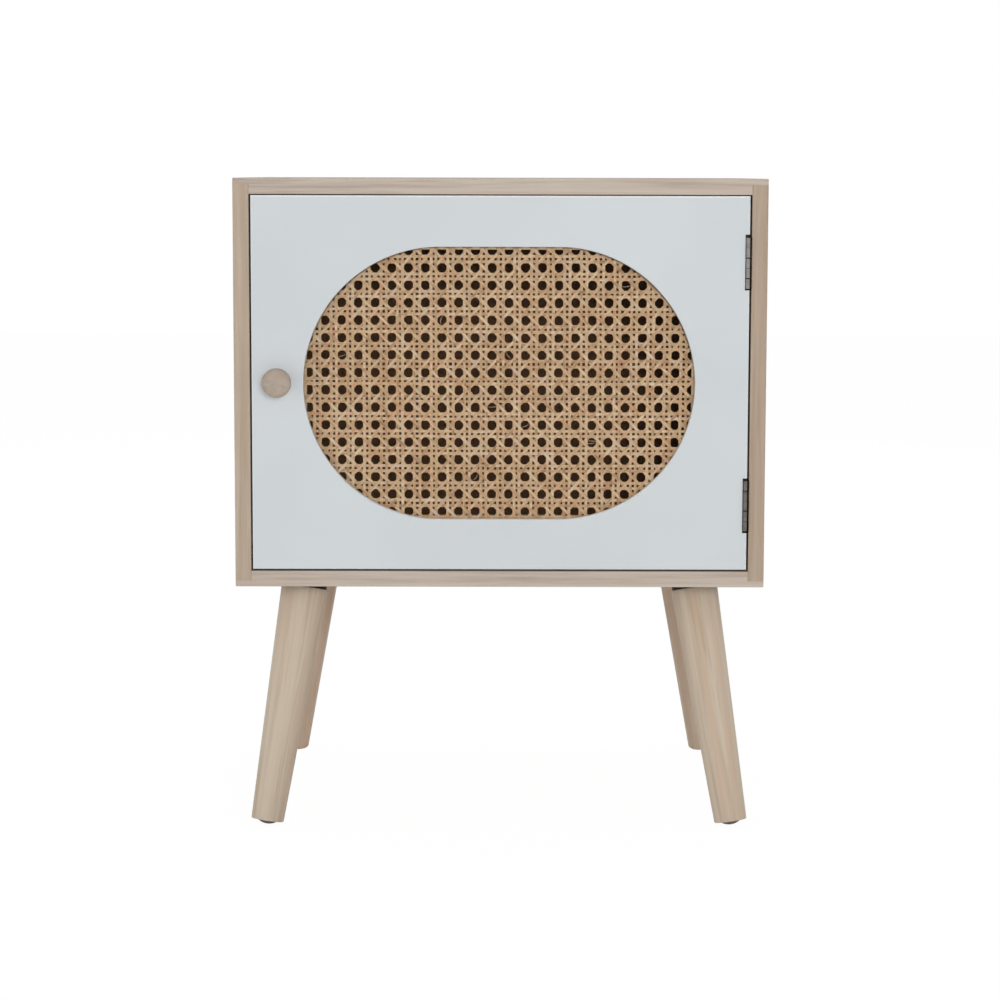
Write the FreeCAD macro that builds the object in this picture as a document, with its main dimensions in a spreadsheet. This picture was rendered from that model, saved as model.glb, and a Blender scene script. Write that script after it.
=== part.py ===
"""Storage side table with one door: a rabbeted wooden case on four splayed legs.

The inset door is a painted panel with a stadium-shaped window. A sheet of woven
cane is clamped behind the window by four battens. Two butt hinges carry the door
on the right, and a magnetic catch holds it on the left.

Frame: +Z up, the door faces -Y, +X to the right of somebody facing the door.
The origin is on the floor, under the middle of the whole table, knob included.
"""

import FreeCAD, Part
import os
import re

import Sketcher

Vector = FreeCAD.Vector

# Driving dimensions in millimetres: alias, value, meaning.
DIMENSIONS = [
    ("case_width", 400, "over the two sides"),
    ("case_depth", 300, "front edges of the boards to their back edges"),
    ("case_height", 308, "underside of the bottom board to the top surface"),
    ("board_thickness", 12, "all four boards of the case"),
    ("board_round", 0.8, "softened outer edges of the boards"),
    ("corner_lip", 4.6, "top and bottom board left over the end of a side"),
    ("dowel_diameter", 4, "corner dowels"),
    ("dowel_length", 16, ""),
    ("dowel_in_side", 7, "share of the dowel's length that is in the side"),
    ("dowel_setback", 40, "first and last dowel to the edges of the board"),
    ("peg_clearance", 0.05, "radial, around every dowel, screw, nail and bolt"),
    ("end_clearance", 0.5, "room past the end of whatever is in a blind hole"),
    ("back_thickness", 3, "hardboard back"),
    ("back_rebate", 6, "width of the ledge that the back lies in"),
    ("back_clearance", 0.25, "each edge of the back to its rebate"),
    ("nail_diameter", 1.6, "back panel nails"),
    ("nail_head_diameter", 4, ""),
    ("nail_head_thickness", 0.8, ""),
    ("nail_length", 14, "with the head"),
    ("nail_setback", 60, "outermost nails of a row to the outside of the case"),
    ("door_thickness", 12, "painted door panel"),
    ("door_round", 0.8, "round along the front edges of the door"),
    ("door_gap_latch", 1.3, "door to the left side"),
    ("door_gap_hinge", 1.4, "door to the right side"),
    ("door_gap_top", 0.8, ""),
    ("door_gap_bottom", 1.4, ""),
    ("window_stile_latch", 39, "free edge of the door to the window"),
    ("window_stile_hinge", 40.3, "hinge edge of the door to the window"),
    ("window_rail", 38.4, "window to the top or bottom edge of the door"),
    ("window_recess", 5, "front of the door to the front of the cane"),
    ("cane_thickness", 1.5, "woven sheet"),
    ("cane_border", 8, "sheet that is hidden past the window, each side"),
    ("cane_pitch_x", 12.55, "hole to hole along the door"),
    ("cane_pitch_z", 13.17, "hole to hole up the door"),
    ("cane_hole", 6.6, "large hole, across its flats"),
    ("cane_shift_x", 0.9, "middle strands off the middle of the window"),
    ("cane_shift_z", 1.3, ""),
    ("cane_selvage", 2.5, "least width of cane around the outermost holes"),
    ("batten_width", 14, "battens that clamp the cane"),
    ("batten_thickness", 5.5, ""),
    ("batten_reveal", 2, "batten that shows inside the window's outline"),
    ("pin_diameter", 1.2, "batten pins"),
    ("pin_length", 9.5, ""),
    ("pin_setback", 25, "outermost pins of a batten to its ends"),
    ("knob_diameter", 22, "turned wooden knob"),
    ("knob_projection", 21, "door to the face of the knob"),
    ("knob_base_diameter", 16, ""),
    ("knob_neck_diameter", 13, ""),
    ("knob_neck_height", 6, ""),
    ("knob_head_thickness", 9, ""),
    ("knob_face_diameter", 15, "flat middle of the face"),
    ("knob_face_rise", 3.5, "rim to the face"),
    ("knob_inset", 19.9, "axis of the knob to the free edge of the door"),
    ("knob_rise", 1.5, "axis of the knob above the middle of the door"),
    ("knob_screw_diameter", 4, ""),
    ("knob_screw_bite", 12, "thread inside the knob"),
    ("knob_screw_head_diameter", 8, ""),
    ("knob_screw_head_thickness", 2.4, ""),
    ("hinge_length", 38, "five knuckles"),
    ("hinge_barrel_diameter", 3.2, ""),
    ("hinge_pin_diameter", 1.6, ""),
    ("hinge_leaf_thickness", 0.8, ""),
    ("hinge_leaf_width", 9.5, "axis to the free edge of a leaf"),
    ("hinge_swage", 1.2, "case leaf set away from the barrel"),
    ("hinge_forward", 0.4, "axis in front of the face of the door"),
    ("hinge_setback", 62.3, "middle of a notch to the top or underside of the case"),
    ("upper_hinge_drop", 0.5, "upper hinge below the middle of its notch"),
    ("lower_hinge_drop", 0, "lower hinge below the middle of its notch"),
    ("hinge_running_clearance", 0.05, "radial, pin in its knuckles"),
    ("hinge_knuckle_gap", 0.3, "between two knuckles"),
    ("hinge_room", 0.45, "barrel to the notch in the door"),
    ("hinge_notch_length", 41.6, "notch in the edge of the door"),
    ("hinge_notch_depth", 3.2, "back from the face of the door"),
    ("hinge_pin_head", 0.3, "thin head at each end of the pin"),
    ("hinge_screw_spacing", 22, "two screws in each leaf"),
    ("hinge_screw_offset", 5.8, "axis to the row of screws"),
    ("small_screw_diameter", 2.5, "hinge and strike plate screws"),
    ("small_screw_length", 10, ""),
    ("catch_length", 46, "magnetic catch, along the side of the case"),
    ("catch_body_length", 28, "between the two flanges"),
    ("catch_width", 13, "out from the side of the case"),
    ("catch_depth", 13, ""),
    ("catch_flange", 3, ""),
    ("catch_screw_diameter", 3, ""),
    ("catch_screw_length", 11, "with the head"),
    ("catch_screw_head_diameter", 5.4, ""),
    ("catch_screw_head_thickness", 1.6, ""),
    ("catch_screw_spacing", 37, ""),
    ("magnet_width", 5, ""),
    ("magnet_length", 20, ""),
    ("magnet_depth", 10, ""),
    ("pole_thickness", 1.5, "steel plate on each side of the magnet"),
    ("pole_proud", 0.7, "pole plates out of the housing"),
    ("catch_gap", 0.3, "pole plates to the strike plate"),
    ("strike_thickness", 1, ""),
    ("strike_width", 11, ""),
    ("strike_length", 34, ""),
    ("leg_height", 187.5, "floor to the underside of the case"),
    ("leg_inset_x", 50, "leg axis to the side of the case, at its underside"),
    ("leg_inset_y", 50, "leg axis to the front or back of the case"),
    ("leg_splay_x", 29, "how far a foot stands out sideways"),
    ("leg_splay_y", 35, "how far a foot stands out to the front or back"),
    ("leg_top_diameter", 36, ""),
    ("leg_foot_diameter", 25, ""),
    ("leg_chamfer", 0.8, "both ends of a leg"),
    ("leg_seat_clearance", 1.4, "highest point of a leg's rim to its plate"),
    ("plate_size", 54, "square leg plate"),
    ("plate_thickness", 2, ""),
    ("boss_diameter", 34, "angled threaded boss of a leg plate"),
    ("plate_screw_spacing", 40, ""),
    ("plate_screw_diameter", 3.5, ""),
    ("plate_screw_length", 10, "under the head"),
    ("plate_screw_head_diameter", 6.6, ""),
    ("plate_screw_head_thickness", 2, ""),
    ("bolt_diameter", 8, "hanger bolt"),
    ("bolt_in_leg", 30, ""),
    ("glide_diameter", 16, "domed nail-on glide"),
    ("glide_height", 2.8, ""),
    ("glide_nail_diameter", 2.2, ""),
    ("glide_nail_length", 13, ""),
]
ALIASES = {row[0] for row in DIMENSIONS}

doc = FreeCAD.newDocument("SideTable")
sheet = doc.addObject("Spreadsheet::Sheet", "Sizes")
for row, (alias, number, meaning) in enumerate(DIMENSIONS, start=1):
    sheet.set(f"A{row}", alias)
    sheet.set(f"B{row}", str(number))
    sheet.set(f"C{row}", meaning)
    sheet.setAlias(f"B{row}", alias)
doc.recompute()

parts = []


# ---------------------------------------------------------------- helpers


def formula(text):
    """An expression in plain aliases, written as the document wants it."""
    return re.sub(
        r"[A-Za-z_]\w*",
        lambda word: "Sizes." + word.group() if word.group() in ALIASES else word.group(),
        str(text),
    )


def amount(text):
    """The number that an expression in plain aliases has now."""
    answer = sheet.evalExpression(formula(text))
    return float(getattr(answer, "Value", answer))


def bind(item, **sizes):
    """Binds properties of a document object to expressions."""
    for name, text in sizes.items():
        item.setExpression(name, formula(text))


def put(item, x, y, z, turn=None):
    """Binds the placement: a point and, where given, (axis, angle)."""
    spin = "rotation(vector(0; 0; 1); 0)"
    if turn:
        spin = f"rotation(vector({'; '.join(turn[0])}); {turn[1]})"
    item.setExpression("Placement", formula(f"placement(vector({x}; {y}; {z}); {spin})"))


def keep(item, label):
    """Makes an object one of the sub-parts that are written out."""
    item.Label = label
    parts.append(item)
    return item


def new_body(label):
    return keep(doc.addObject("PartDesign::Body", label + "_body"), label)


def sketch_on(body, role, depth="0"):
    """A sketch on one of the body's origin planes, moved along its normal."""
    made = body.newObject("Sketcher::SketchObject", "Sketch")
    plane = next(f for f in body.Origin.OriginFeatures if f.Role == role)
    made.AttachmentSupport = [(plane, "")]
    made.MapMode = "FlatFace"
    made.setExpression("AttachmentOffset.Base.z", formula(depth))
    return made


def fix_point(sketch, geometry, point, x, y):
    """Dimensions one point of the sketch from its origin."""
    for kind, text in (("DistanceX", x), ("DistanceY", y)):
        constraint = Sketcher.Constraint(kind, -1, 1, geometry, point, amount(text))
        index = sketch.addConstraint(constraint)
        sketch.setExpression(f"Constraints[{index}]", formula(text))


def outline(sketch, corners):
    """A closed outline of straight lines through corners given as expressions."""
    first = sketch.GeometryCount
    count = len(corners)
    spots = [Vector(amount(x), amount(y), 0) for x, y in corners]
    for i in range(count):
        sketch.addGeometry(Part.LineSegment(spots[i], spots[(i + 1) % count]), False)
    for i in range(count):
        following = first + (i + 1) % count
        sketch.addConstraint(Sketcher.Constraint("Coincident", first + i, 2, following, 1))
    for i, (x, y) in enumerate(corners):
        fix_point(sketch, first + i, 1, x, y)


def rectangle(sketch, x0, y0, x1, y1):
    outline(sketch, [(x0, y0), (x1, y0), (x1, y1), (x0, y1)])


def circles(sketch, centres, diameter):
    """One circle of a bound diameter at each (x, y)."""
    for x, y in centres:
        circle = Part.Circle(Vector(amount(x), amount(y), 0), Vector(0, 0, 1), amount(diameter) / 2)
        index = sketch.addGeometry(circle, False)
        fix_point(sketch, index, 3, x, y)
        size = sketch.addConstraint(Sketcher.Constraint("Diameter", index, amount(diameter)))
        sketch.setExpression(f"Constraints[{size}]", formula(diameter))


def stadium(sketch, centre, width, height):
    """Two straight lines and two half circles, with their middle at (centre, 0)."""
    middle = amount(centre)
    radius = amount(height) / 2
    run = amount(width) / 2 - radius
    up = Vector(0, 0, 1)
    right = Part.Circle(Vector(middle + run, 0, 0), up, radius)
    left = Part.Circle(Vector(middle - run, 0, 0), up, radius)
    quarter = 1.5707963267948966
    shapes = [
        Part.ArcOfCircle(right, -quarter, quarter),
        Part.LineSegment(Vector(middle + run, radius, 0), Vector(middle - run, radius, 0)),
        Part.ArcOfCircle(left, quarter, 3 * quarter),
        Part.LineSegment(Vector(middle - run, -radius, 0), Vector(middle + run, -radius, 0)),
    ]
    for shape in shapes:
        sketch.addGeometry(shape, False)
    for i in range(4):
        sketch.addConstraint(Sketcher.Constraint("Tangent", i, 2, (i + 1) % 4, 1))
    half = f"({width} - {height}) / 2"
    fix_point(sketch, 0, 3, f"{centre} + {half}", "0")
    fix_point(sketch, 2, 3, f"{centre} - {half}", "0")
    size = sketch.addConstraint(Sketcher.Constraint("Radius", 0, radius))
    sketch.setExpression(f"Constraints[{size}]", formula(f"{height} / 2"))


def pad(body, sketch, length, backwards=False):
    made = body.newObject("PartDesign::Pad", "Pad")
    made.Profile = sketch
    made.Reversed = backwards
    bind(made, Length=length)
    doc.recompute()
    return made


def pocket(body, sketch, length=None, backwards=False):
    """Cuts the sketch's outline to a bound depth, or all the way both ways."""
    made = body.newObject("PartDesign::Pocket", "Pocket")
    made.Profile = sketch
    made.Reversed = backwards
    if length is None:
        made.Type = "ThroughAll"
        made.Midplane = True
    else:
        bind(made, Length=length)
    doc.recompute()
    return made


def holes(body, role, depth, centres, diameter, length=None, backwards=False):
    """Round holes at centres in a plane, cut to a bound depth or right through."""
    sketch = sketch_on(body, role, depth)
    circles(sketch, centres, diameter)
    return pocket(body, sketch, length, backwards)


def countersunk_holes(body, role, depth, centres, diameter, head, backwards=False):
    """Through holes with a 90 degree countersink on the sketch's side."""
    sketch = sketch_on(body, role, depth)
    circles(sketch, centres, diameter)
    doc.recompute()
    made = body.newObject("PartDesign::Hole", "Hole")
    made.Profile = sketch
    doc.recompute()
    made.DepthType = "ThroughAll"
    made.Reversed = backwards
    made.HoleCutType = "Countersink"
    made.HoleCutCountersinkAngle = 90
    bind(made, Diameter=diameter, HoleCutDiameter=head)
    doc.recompute()
    return made


def edges_where(shape, wanted):
    """Names of the edges whose two ends and middle all pass the test."""
    found = []
    for number, edge in enumerate(shape.Edges, start=1):
        middle = edge.valueAt((edge.FirstParameter + edge.LastParameter) / 2)
        spots = [vertex.Point for vertex in edge.Vertexes] + [middle]
        if all(wanted(spot) for spot in spots):
            found.append(f"Edge{number}")
    return found


def fillet(body, base, edges, radius):
    made = body.newObject("PartDesign::Fillet", "Fillet")
    made.Base = (base, edges)
    bind(made, Radius=radius)
    doc.recompute()
    return made


def chamfer(body, base, edges, size):
    made = body.newObject("PartDesign::Chamfer", "Chamfer")
    made.Base = (base, edges)
    bind(made, Size=size)
    doc.recompute()
    return made


def revolve(body, profile, name="Revolution"):
    """Turns a half profile, given as (radius, height), about the body's Z axis."""
    sketch = sketch_on(body, "XZ_Plane")
    outline(sketch, profile)
    made = body.newObject("PartDesign::Revolution", name)
    made.Profile = sketch
    made.ReferenceAxis = (sketch, ["V_Axis"])
    made.Angle = 360
    doc.recompute()
    return made


def near(a, b):
    return abs(a - b) < 1e-4


def group(label, shapes):
    """Identical fasteners in one node, each its own solid."""
    made = keep(doc.addObject("Part::Feature", label + "_group"), label)
    made.Shape = Part.makeCompound(shapes)
    return made


def turned(profile, base, direction):
    """A solid of revolution: (radius, height) points, from base along direction."""
    wire = Part.makePolygon([Vector(r, 0, z) for r, z in profile + profile[:1]])
    solid = Part.Face(wire).revolve(Vector(0, 0, 0), Vector(0, 0, 1), 360)
    solid.Placement = FreeCAD.Placement(base, FreeCAD.Rotation(Vector(0, 0, 1), direction))
    return solid


# ---------------------------------------------------------------- shared places

FRONT = "((knob_projection - case_depth) / 2)"
MIDDLE_Y = "(knob_projection / 2)"
INNER_WIDTH = "(case_width - 2 * board_thickness)"
INNER_HEIGHT = "(case_height - 2 * board_thickness)"
DOOR_WIDTH = f"({INNER_WIDTH} - door_gap_latch - door_gap_hinge)"
DOOR_HEIGHT = f"({INNER_HEIGHT} - door_gap_top - door_gap_bottom)"
DOOR_X = "((door_gap_latch - door_gap_hinge) / 2)"
DOOR_Z = "(leg_height + (case_height + door_gap_bottom - door_gap_top) / 2)"
DOOR_BACK = f"({FRONT} + door_thickness)"
WINDOW_WIDTH = f"({DOOR_WIDTH} - window_stile_latch - window_stile_hinge)"
WINDOW_HEIGHT = f"({DOOR_HEIGHT} - 2 * window_rail)"
WINDOW_IN_DOOR = "((window_stile_latch - window_stile_hinge) / 2)"
WINDOW_X = f"({DOOR_X} + {WINDOW_IN_DOOR})"
HINGE_X = "(case_width / 2 - board_thickness - hinge_swage - hinge_barrel_diameter / 2)"
HINGE_Y = f"({FRONT} - hinge_forward)"
HINGE_EDGE = "(hinge_barrel_diameter / 2 + hinge_swage - door_gap_hinge)"
NOTCH_Z = {
    "upper": "(leg_height + case_height - hinge_setback)",
    "lower": "(leg_height + hinge_setback)",
}
HINGE_Z = {
    "upper": f"({NOTCH_Z['upper']} - upper_hinge_drop)",
    "lower": f"({NOTCH_Z['lower']} - lower_hinge_drop)",
}
HINGE_SCREW_Z = ["-hinge_screw_spacing / 2", "hinge_screw_spacing / 2"]
CATCH_Z = DOOR_Z
CATCH_Y = f"({DOOR_BACK} + strike_thickness + catch_gap + pole_proud)"
MAGNET_X = "(catch_flange + (catch_width - catch_flange) / 2)"
CATCH_X = "(-case_width / 2 + board_thickness)"
KNOB_X = "(-case_width / 2 + board_thickness + door_gap_latch + knob_inset)"
KNOB_Z = f"({DOOR_Z} + knob_rise)"
TILT = "atan(hypot(leg_splay_x; leg_splay_y) / leg_height)"
LEG_SEAT = (
    "((plate_thickness + leg_seat_clearance"
    f" + leg_top_diameter / 2 * sin({TILT})) / cos({TILT}))"
)
GLIDE_RADIUS = "((glide_diameter ^ 2 / 4 + glide_height ^ 2) / (2 * glide_height))"
LEG_FOOT = f"((leg_height - {GLIDE_RADIUS}) / cos({TILT}) + {GLIDE_RADIUS} - glide_height)"
CORNERS = {
    "front_left": (-1, -1),
    "front_right": (1, -1),
    "rear_left": (-1, 1),
    "rear_right": (1, 1),
}
DOWEL_ROW = ["dowel_setback", "case_depth / 2", "case_depth - dowel_setback"]
NAIL_ROW_X = ["-case_width / 2 + nail_setback", "0", "case_width / 2 - nail_setback"]
NAIL_ROW_Z = ["-case_height / 2 + nail_setback", "0", "case_height / 2 - nail_setback"]
NAIL_X = f"({INNER_WIDTH} / 2 + back_rebate / 2)"
NAIL_Z = f"({INNER_HEIGHT} / 2 + back_rebate / 2)"


def leg_point(sign_x, sign_y):
    """Where a leg's axis meets the underside of the case."""
    x = f"({sign_x} * (case_width / 2 - leg_inset_x))"
    y = f"({MIDDLE_Y} + {sign_y} * (case_depth / 2 - leg_inset_y))"
    return x, y


def leg_turn(sign_x, sign_y):
    """Turns +Z to point up a leg: axis and angle."""
    return (f"{sign_y} * leg_splay_y", f"{-sign_x} * leg_splay_x", "0"), TILT


# ---------------------------------------------------------------- case


def flat_board(label, inward):
    """Top or bottom board: full width, rabbeted at both ends over the sides.

    inward is 1 for the bottom board and -1 for the top one. Local z is 0 on the
    outer face and local y is 0 on the front edge.
    """
    body = new_body(label)
    half = "case_width / 2"
    shoulder = f"({INNER_WIDTH} / 2)"
    lip = f"{inward} * corner_lip"
    face = f"{inward} * board_thickness"
    profile = sketch_on(body, "XZ_Plane")
    outline(
        profile,
        [
            (f"-{half}", "0"),
            (half, "0"),
            (half, lip),
            (shoulder, lip),
            (shoulder, face),
            (f"-{shoulder}", face),
            (f"-{shoulder}", lip),
            (f"-{half}", lip),
        ],
    )
    base = pad(body, profile, "case_depth", backwards=True)

    end = amount("case_width / 2")
    depth = amount("case_depth")

    def outer(spot):
        on_face = near(spot.z, 0)
        on_corner = near(abs(spot.x), end) and (near(spot.y, 0) or near(spot.y, depth))
        return on_corner or (on_face and (near(abs(spot.x), end) or near(spot.y, 0) or near(spot.y, depth)))

    fillet(body, base, edges_where(base.Shape, outer), "board_round")

    ledge = sketch_on(body, "YZ_Plane")
    rectangle(
        ledge,
        "case_depth - back_thickness",
        f"{inward} * (board_thickness - back_rebate)",
        "case_depth + 1",
        f"{inward} * (board_thickness + 1)",
    )
    pocket(body, ledge)

    dowel_z = f"{inward} * (board_thickness + corner_lip) / 2"
    for side, backwards in ((1, False), (-1, True)):
        holes(
            body,
            "YZ_Plane",
            f"{side} * {shoulder}",
            [(y, dowel_z) for y in DOWEL_ROW],
            "dowel_diameter + 2 * peg_clearance",
            "dowel_length - dowel_in_side + end_clearance",
            backwards,
        )
    holes(
        body,
        "XZ_Plane",
        "back_thickness - case_depth",
        [(x, f"{inward} * (board_thickness - back_rebate / 2)") for x in NAIL_ROW_X],
        "nail_diameter + 2 * peg_clearance",
        "nail_length - back_thickness + end_clearance",
        backwards=True,
    )
    z = "leg_height" if inward > 0 else "leg_height + case_height"
    put(body, "0", FRONT, z)
    return body


def plate_screw_spots():
    """Centres of the leg plate screws, from the middle of the case's front edge."""
    spots = []
    for sign_x, sign_y in CORNERS.values():
        x, y = leg_point(sign_x, sign_y)
        for a in (-1, 1):
            for b in (-1, 1):
                spots.append(
                    (f"{x} + {a} * plate_screw_spacing / 2", f"{y} - {FRONT} + {b} * plate_screw_spacing / 2")
                )
    return spots


def side_board(label, inward):
    """Left (inward 1) or right (inward -1) board, between the two lips.

    Local x is 0 on the outer face, local y is 0 on the front edge and local z is 0
    at the lower end.
    """
    body = new_body(label)
    face = f"{inward} * board_thickness"
    tall = "(case_height - 2 * corner_lip)"
    plan = sketch_on(body, "XY_Plane")
    rectangle(plan, "0", "0", face, "case_depth")
    base = pad(body, plan, tall)

    thick = amount("board_thickness")
    depth = amount("case_depth")

    def outer(spot):
        return near(spot.x, 0) and (near(spot.y, 0) or near(spot.y, depth))

    def inner_front(spot):
        return near(abs(spot.x), thick) and near(spot.y, 0)

    edges = edges_where(base.Shape, lambda spot: outer(spot)) + edges_where(base.Shape, inner_front)
    fillet(body, base, edges, "board_round")

    ledge = sketch_on(body, "XY_Plane", "board_thickness - back_rebate - corner_lip")
    rectangle(
        ledge,
        f"{inward} * (board_thickness - back_rebate)",
        "case_depth - back_thickness",
        f"{inward} * (board_thickness + 1)",
        "case_depth + 1",
    )
    pocket(body, ledge, "case_height - 2 * (board_thickness - back_rebate)", backwards=True)

    from_end = "(board_thickness - corner_lip) / 2"
    holes(
        body,
        "YZ_Plane",
        face,
        [(y, z) for y in DOWEL_ROW for z in (from_end, f"{tall} - {from_end}")],
        "dowel_diameter + 2 * peg_clearance",
        "dowel_in_side + end_clearance",
        backwards=inward < 0,
    )
    holes(
        body,
        "XZ_Plane",
        "back_thickness - case_depth",
        [
            (f"{inward} * (board_thickness - back_rebate / 2)", f"{z} + {tall} / 2")
            for z in NAIL_ROW_Z
        ],
        "nail_diameter + 2 * peg_clearance",
        "nail_length - back_thickness + end_clearance",
        backwards=True,
    )
    put(body, f"{-inward} * case_width / 2", FRONT, "leg_height + corner_lip")
    return body


def back_board():
    """Hardboard back, flush in the rebates, with a sunk hole for each nail head."""
    body = new_body("back_panel")
    half_x = f"({INNER_WIDTH} / 2 + back_rebate - back_clearance)"
    half_z = f"({INNER_HEIGHT} / 2 + back_rebate - back_clearance)"
    face = sketch_on(body, "XZ_Plane")
    rectangle(face, f"-{half_x}", f"-{half_z}", half_x, half_z)
    pad(body, face, "back_thickness")
    spots = nail_spots()
    holes(body, "XZ_Plane", "0", spots, "nail_diameter + 2 * peg_clearance")
    holes(
        body,
        "XZ_Plane",
        "0",
        spots,
        "nail_head_diameter + 2 * peg_clearance",
        "nail_head_thickness",
        backwards=True,
    )
    put(body, "0", f"{FRONT} + case_depth", "leg_height + case_height / 2")
    return body


def nail_spots():
    """Centres of the back panel nails, from the middle of the back."""
    spots = [(x, sign + NAIL_Z) for x in NAIL_ROW_X for sign in ("", "-")]
    spots += [(sign + NAIL_X, z) for z in NAIL_ROW_Z for sign in ("", "-")]
    return spots


def case():
    flat_board("top_panel", -1)
    bottom = flat_board("bottom_panel", 1)
    holes(
        bottom,
        "XY_Plane",
        "0",
        plate_screw_spots(),
        "plate_screw_diameter + 2 * peg_clearance",
        "plate_screw_length - plate_thickness + end_clearance",
        backwards=True,
    )
    left = side_board("left_side_panel", 1)
    holes(
        left,
        "YZ_Plane",
        "board_thickness",
        [
            (f"{CATCH_Y} - {FRONT} + catch_depth / 2", f"{CATCH_Z} - leg_height - corner_lip + {side} * catch_screw_spacing / 2")
            for side in (-1, 1)
        ],
        "catch_screw_diameter + 2 * peg_clearance",
        "catch_screw_length - catch_screw_head_thickness - catch_flange + end_clearance",
    )
    right = side_board("right_side_panel", -1)
    holes(
        right,
        "YZ_Plane",
        "-board_thickness",
        [
            ("hinge_screw_offset - hinge_forward", f"{HINGE_Z[which]} - leg_height - corner_lip + {dz}")
            for which in HINGE_Z
            for dz in HINGE_SCREW_Z
        ],
        "small_screw_diameter + 2 * peg_clearance",
        "small_screw_length - hinge_leaf_thickness + end_clearance",
        backwards=True,
    )
    back_board()

    along = Vector(1, 0, 0)
    radius = amount("dowel_diameter") / 2
    length = amount("dowel_length")
    nose = radius / 4
    dowel = [
        (0, 0),
        (radius - nose, 0),
        (radius, nose),
        (radius, length - nose),
        (radius - nose, length),
        (0, length),
    ]
    start = amount(f"{INNER_WIDTH} / 2 + dowel_in_side")
    low = amount("leg_height + (board_thickness + corner_lip) / 2")
    high = amount("leg_height + case_height - (board_thickness + corner_lip) / 2")
    dowels = []
    for side in (-1, 1):
        for y in DOWEL_ROW:
            for z in (low, high):
                base = Vector(side * start, amount(f"{FRONT} + {y}"), z)
                dowels.append(turned(dowel, base, along * -side))
    group("corner_dowels", dowels)

    head = amount("nail_head_diameter") / 2
    thin = amount("nail_head_thickness")
    shank = amount("nail_diameter") / 2
    long = amount("nail_length")
    nail = [(0, 0), (head, 0), (head, thin), (shank, thin), (shank, long - 2 * shank), (0, long)]
    centre_z = amount("leg_height + case_height / 2")
    back = amount(f"{FRONT} + case_depth")
    nails = [
        turned(nail, Vector(amount(x), back, centre_z + amount(z)), Vector(0, -1, 0))
        for x, z in nail_spots()
    ]
    group("back_panel_nails", nails)


# ---------------------------------------------------------------- door


def hinge_notch_x(depth):
    """A distance from the hinge axis, as a local x of the door."""
    return f"({HINGE_X} - {DOOR_X} + {depth})"


def door():
    """Painted panel. Local origin in the middle of its front face."""
    body = new_body("door_panel")
    half_x = f"({DOOR_WIDTH} / 2)"
    half_z = f"({DOOR_HEIGHT} / 2)"
    face = sketch_on(body, "XZ_Plane")
    rectangle(face, f"-{half_x}", f"-{half_z}", half_x, half_z)
    stadium_hole = sketch_on(body, "XZ_Plane")
    stadium(stadium_hole, WINDOW_IN_DOOR, WINDOW_WIDTH, WINDOW_HEIGHT)
    pad(body, face, "door_thickness", backwards=True)
    opened = pocket(body, stadium_hole)
    front = edges_where(opened.Shape, lambda spot: near(spot.y, 0))
    fillet(body, opened, front, "door_round")

    rebate = sketch_on(body, "XZ_Plane", "-door_thickness")
    rebate_x = f"({OPENING_X} + batten_width)"
    rebate_z = f"({OPENING_Z} + batten_width)"
    rectangle(
        rebate,
        f"{WINDOW_IN_DOOR} - {rebate_x}",
        f"-{rebate_z}",
        f"{WINDOW_IN_DOOR} + {rebate_x}",
        rebate_z,
    )
    pocket(body, rebate, "door_thickness - window_recess", backwards=True)

    outside = f"({half_x} + 1)"
    barrel = hinge_notch_x("(-hinge_barrel_diameter / 2 - hinge_room)")
    seat = hinge_notch_x(f"({HINGE_EDGE} - hinge_leaf_thickness)")
    leaf_y = "(hinge_leaf_width + hinge_room - hinge_forward)"
    for which in HINGE_Z:
        notch = sketch_on(body, "XY_Plane", f"{NOTCH_Z[which]} - {DOOR_Z} - hinge_notch_length / 2")
        outline(
            notch,
            [
                (outside, "-1"),
                (barrel, "-1"),
                (barrel, "hinge_notch_depth"),
                (seat, "hinge_notch_depth"),
                (seat, leaf_y),
                (outside, leaf_y),
            ],
        )
        pocket(body, notch, "hinge_notch_length", backwards=True)
    holes(
        body,
        "YZ_Plane",
        seat,
        [
            ("hinge_screw_offset - hinge_forward", f"{HINGE_Z[which]} - {DOOR_Z} + {dz}")
            for which in HINGE_Z
            for dz in HINGE_SCREW_Z
        ],
        "small_screw_diameter + 2 * peg_clearance",
        "small_screw_length - hinge_leaf_thickness + end_clearance",
    )
    holes(
        body,
        "XZ_Plane",
        "0",
        [(f"{KNOB_X} - {DOOR_X}", "knob_rise")],
        "knob_screw_diameter + 10 * peg_clearance",
    )
    holes(
        body,
        "XZ_Plane",
        "-door_thickness",
        [(f"{CATCH_X} + {MAGNET_X} - {DOOR_X}", f"{CATCH_Z} - {DOOR_Z}")],
        "small_screw_diameter + 2 * peg_clearance",
        "small_screw_length - strike_thickness + end_clearance",
        backwards=True,
    )
    holes(
        body,
        "XZ_Plane",
        "-window_recess",
        [(f"{WINDOW_IN_DOOR} + {x}", z) for x, z in pin_spots()],
        "pin_diameter + 2 * peg_clearance",
        "pin_length - batten_thickness - cane_thickness + end_clearance",
        backwards=True,
    )
    put(body, DOOR_X, FRONT, DOOR_Z)


PIN_X = f"(({WINDOW_WIDTH} - batten_reveal + batten_width + cane_border) / 2)"
PIN_Z = f"(({WINDOW_HEIGHT} - batten_reveal + batten_width + cane_border) / 2)"
OPENING_X = f"({WINDOW_WIDTH} / 2 - batten_reveal)"
OPENING_Z = f"({WINDOW_HEIGHT} / 2 - batten_reveal)"
LONG_BATTEN_PINS = [
    f"-({OPENING_X} + batten_width - pin_setback)",
    f"-{WINDOW_WIDTH} / 6",
    f"{WINDOW_WIDTH} / 6",
    f"{OPENING_X} + batten_width - pin_setback",
]
SHORT_BATTEN_PINS = [f"-({OPENING_Z} - pin_setback)", "0", f"{OPENING_Z} - pin_setback"]


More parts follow.
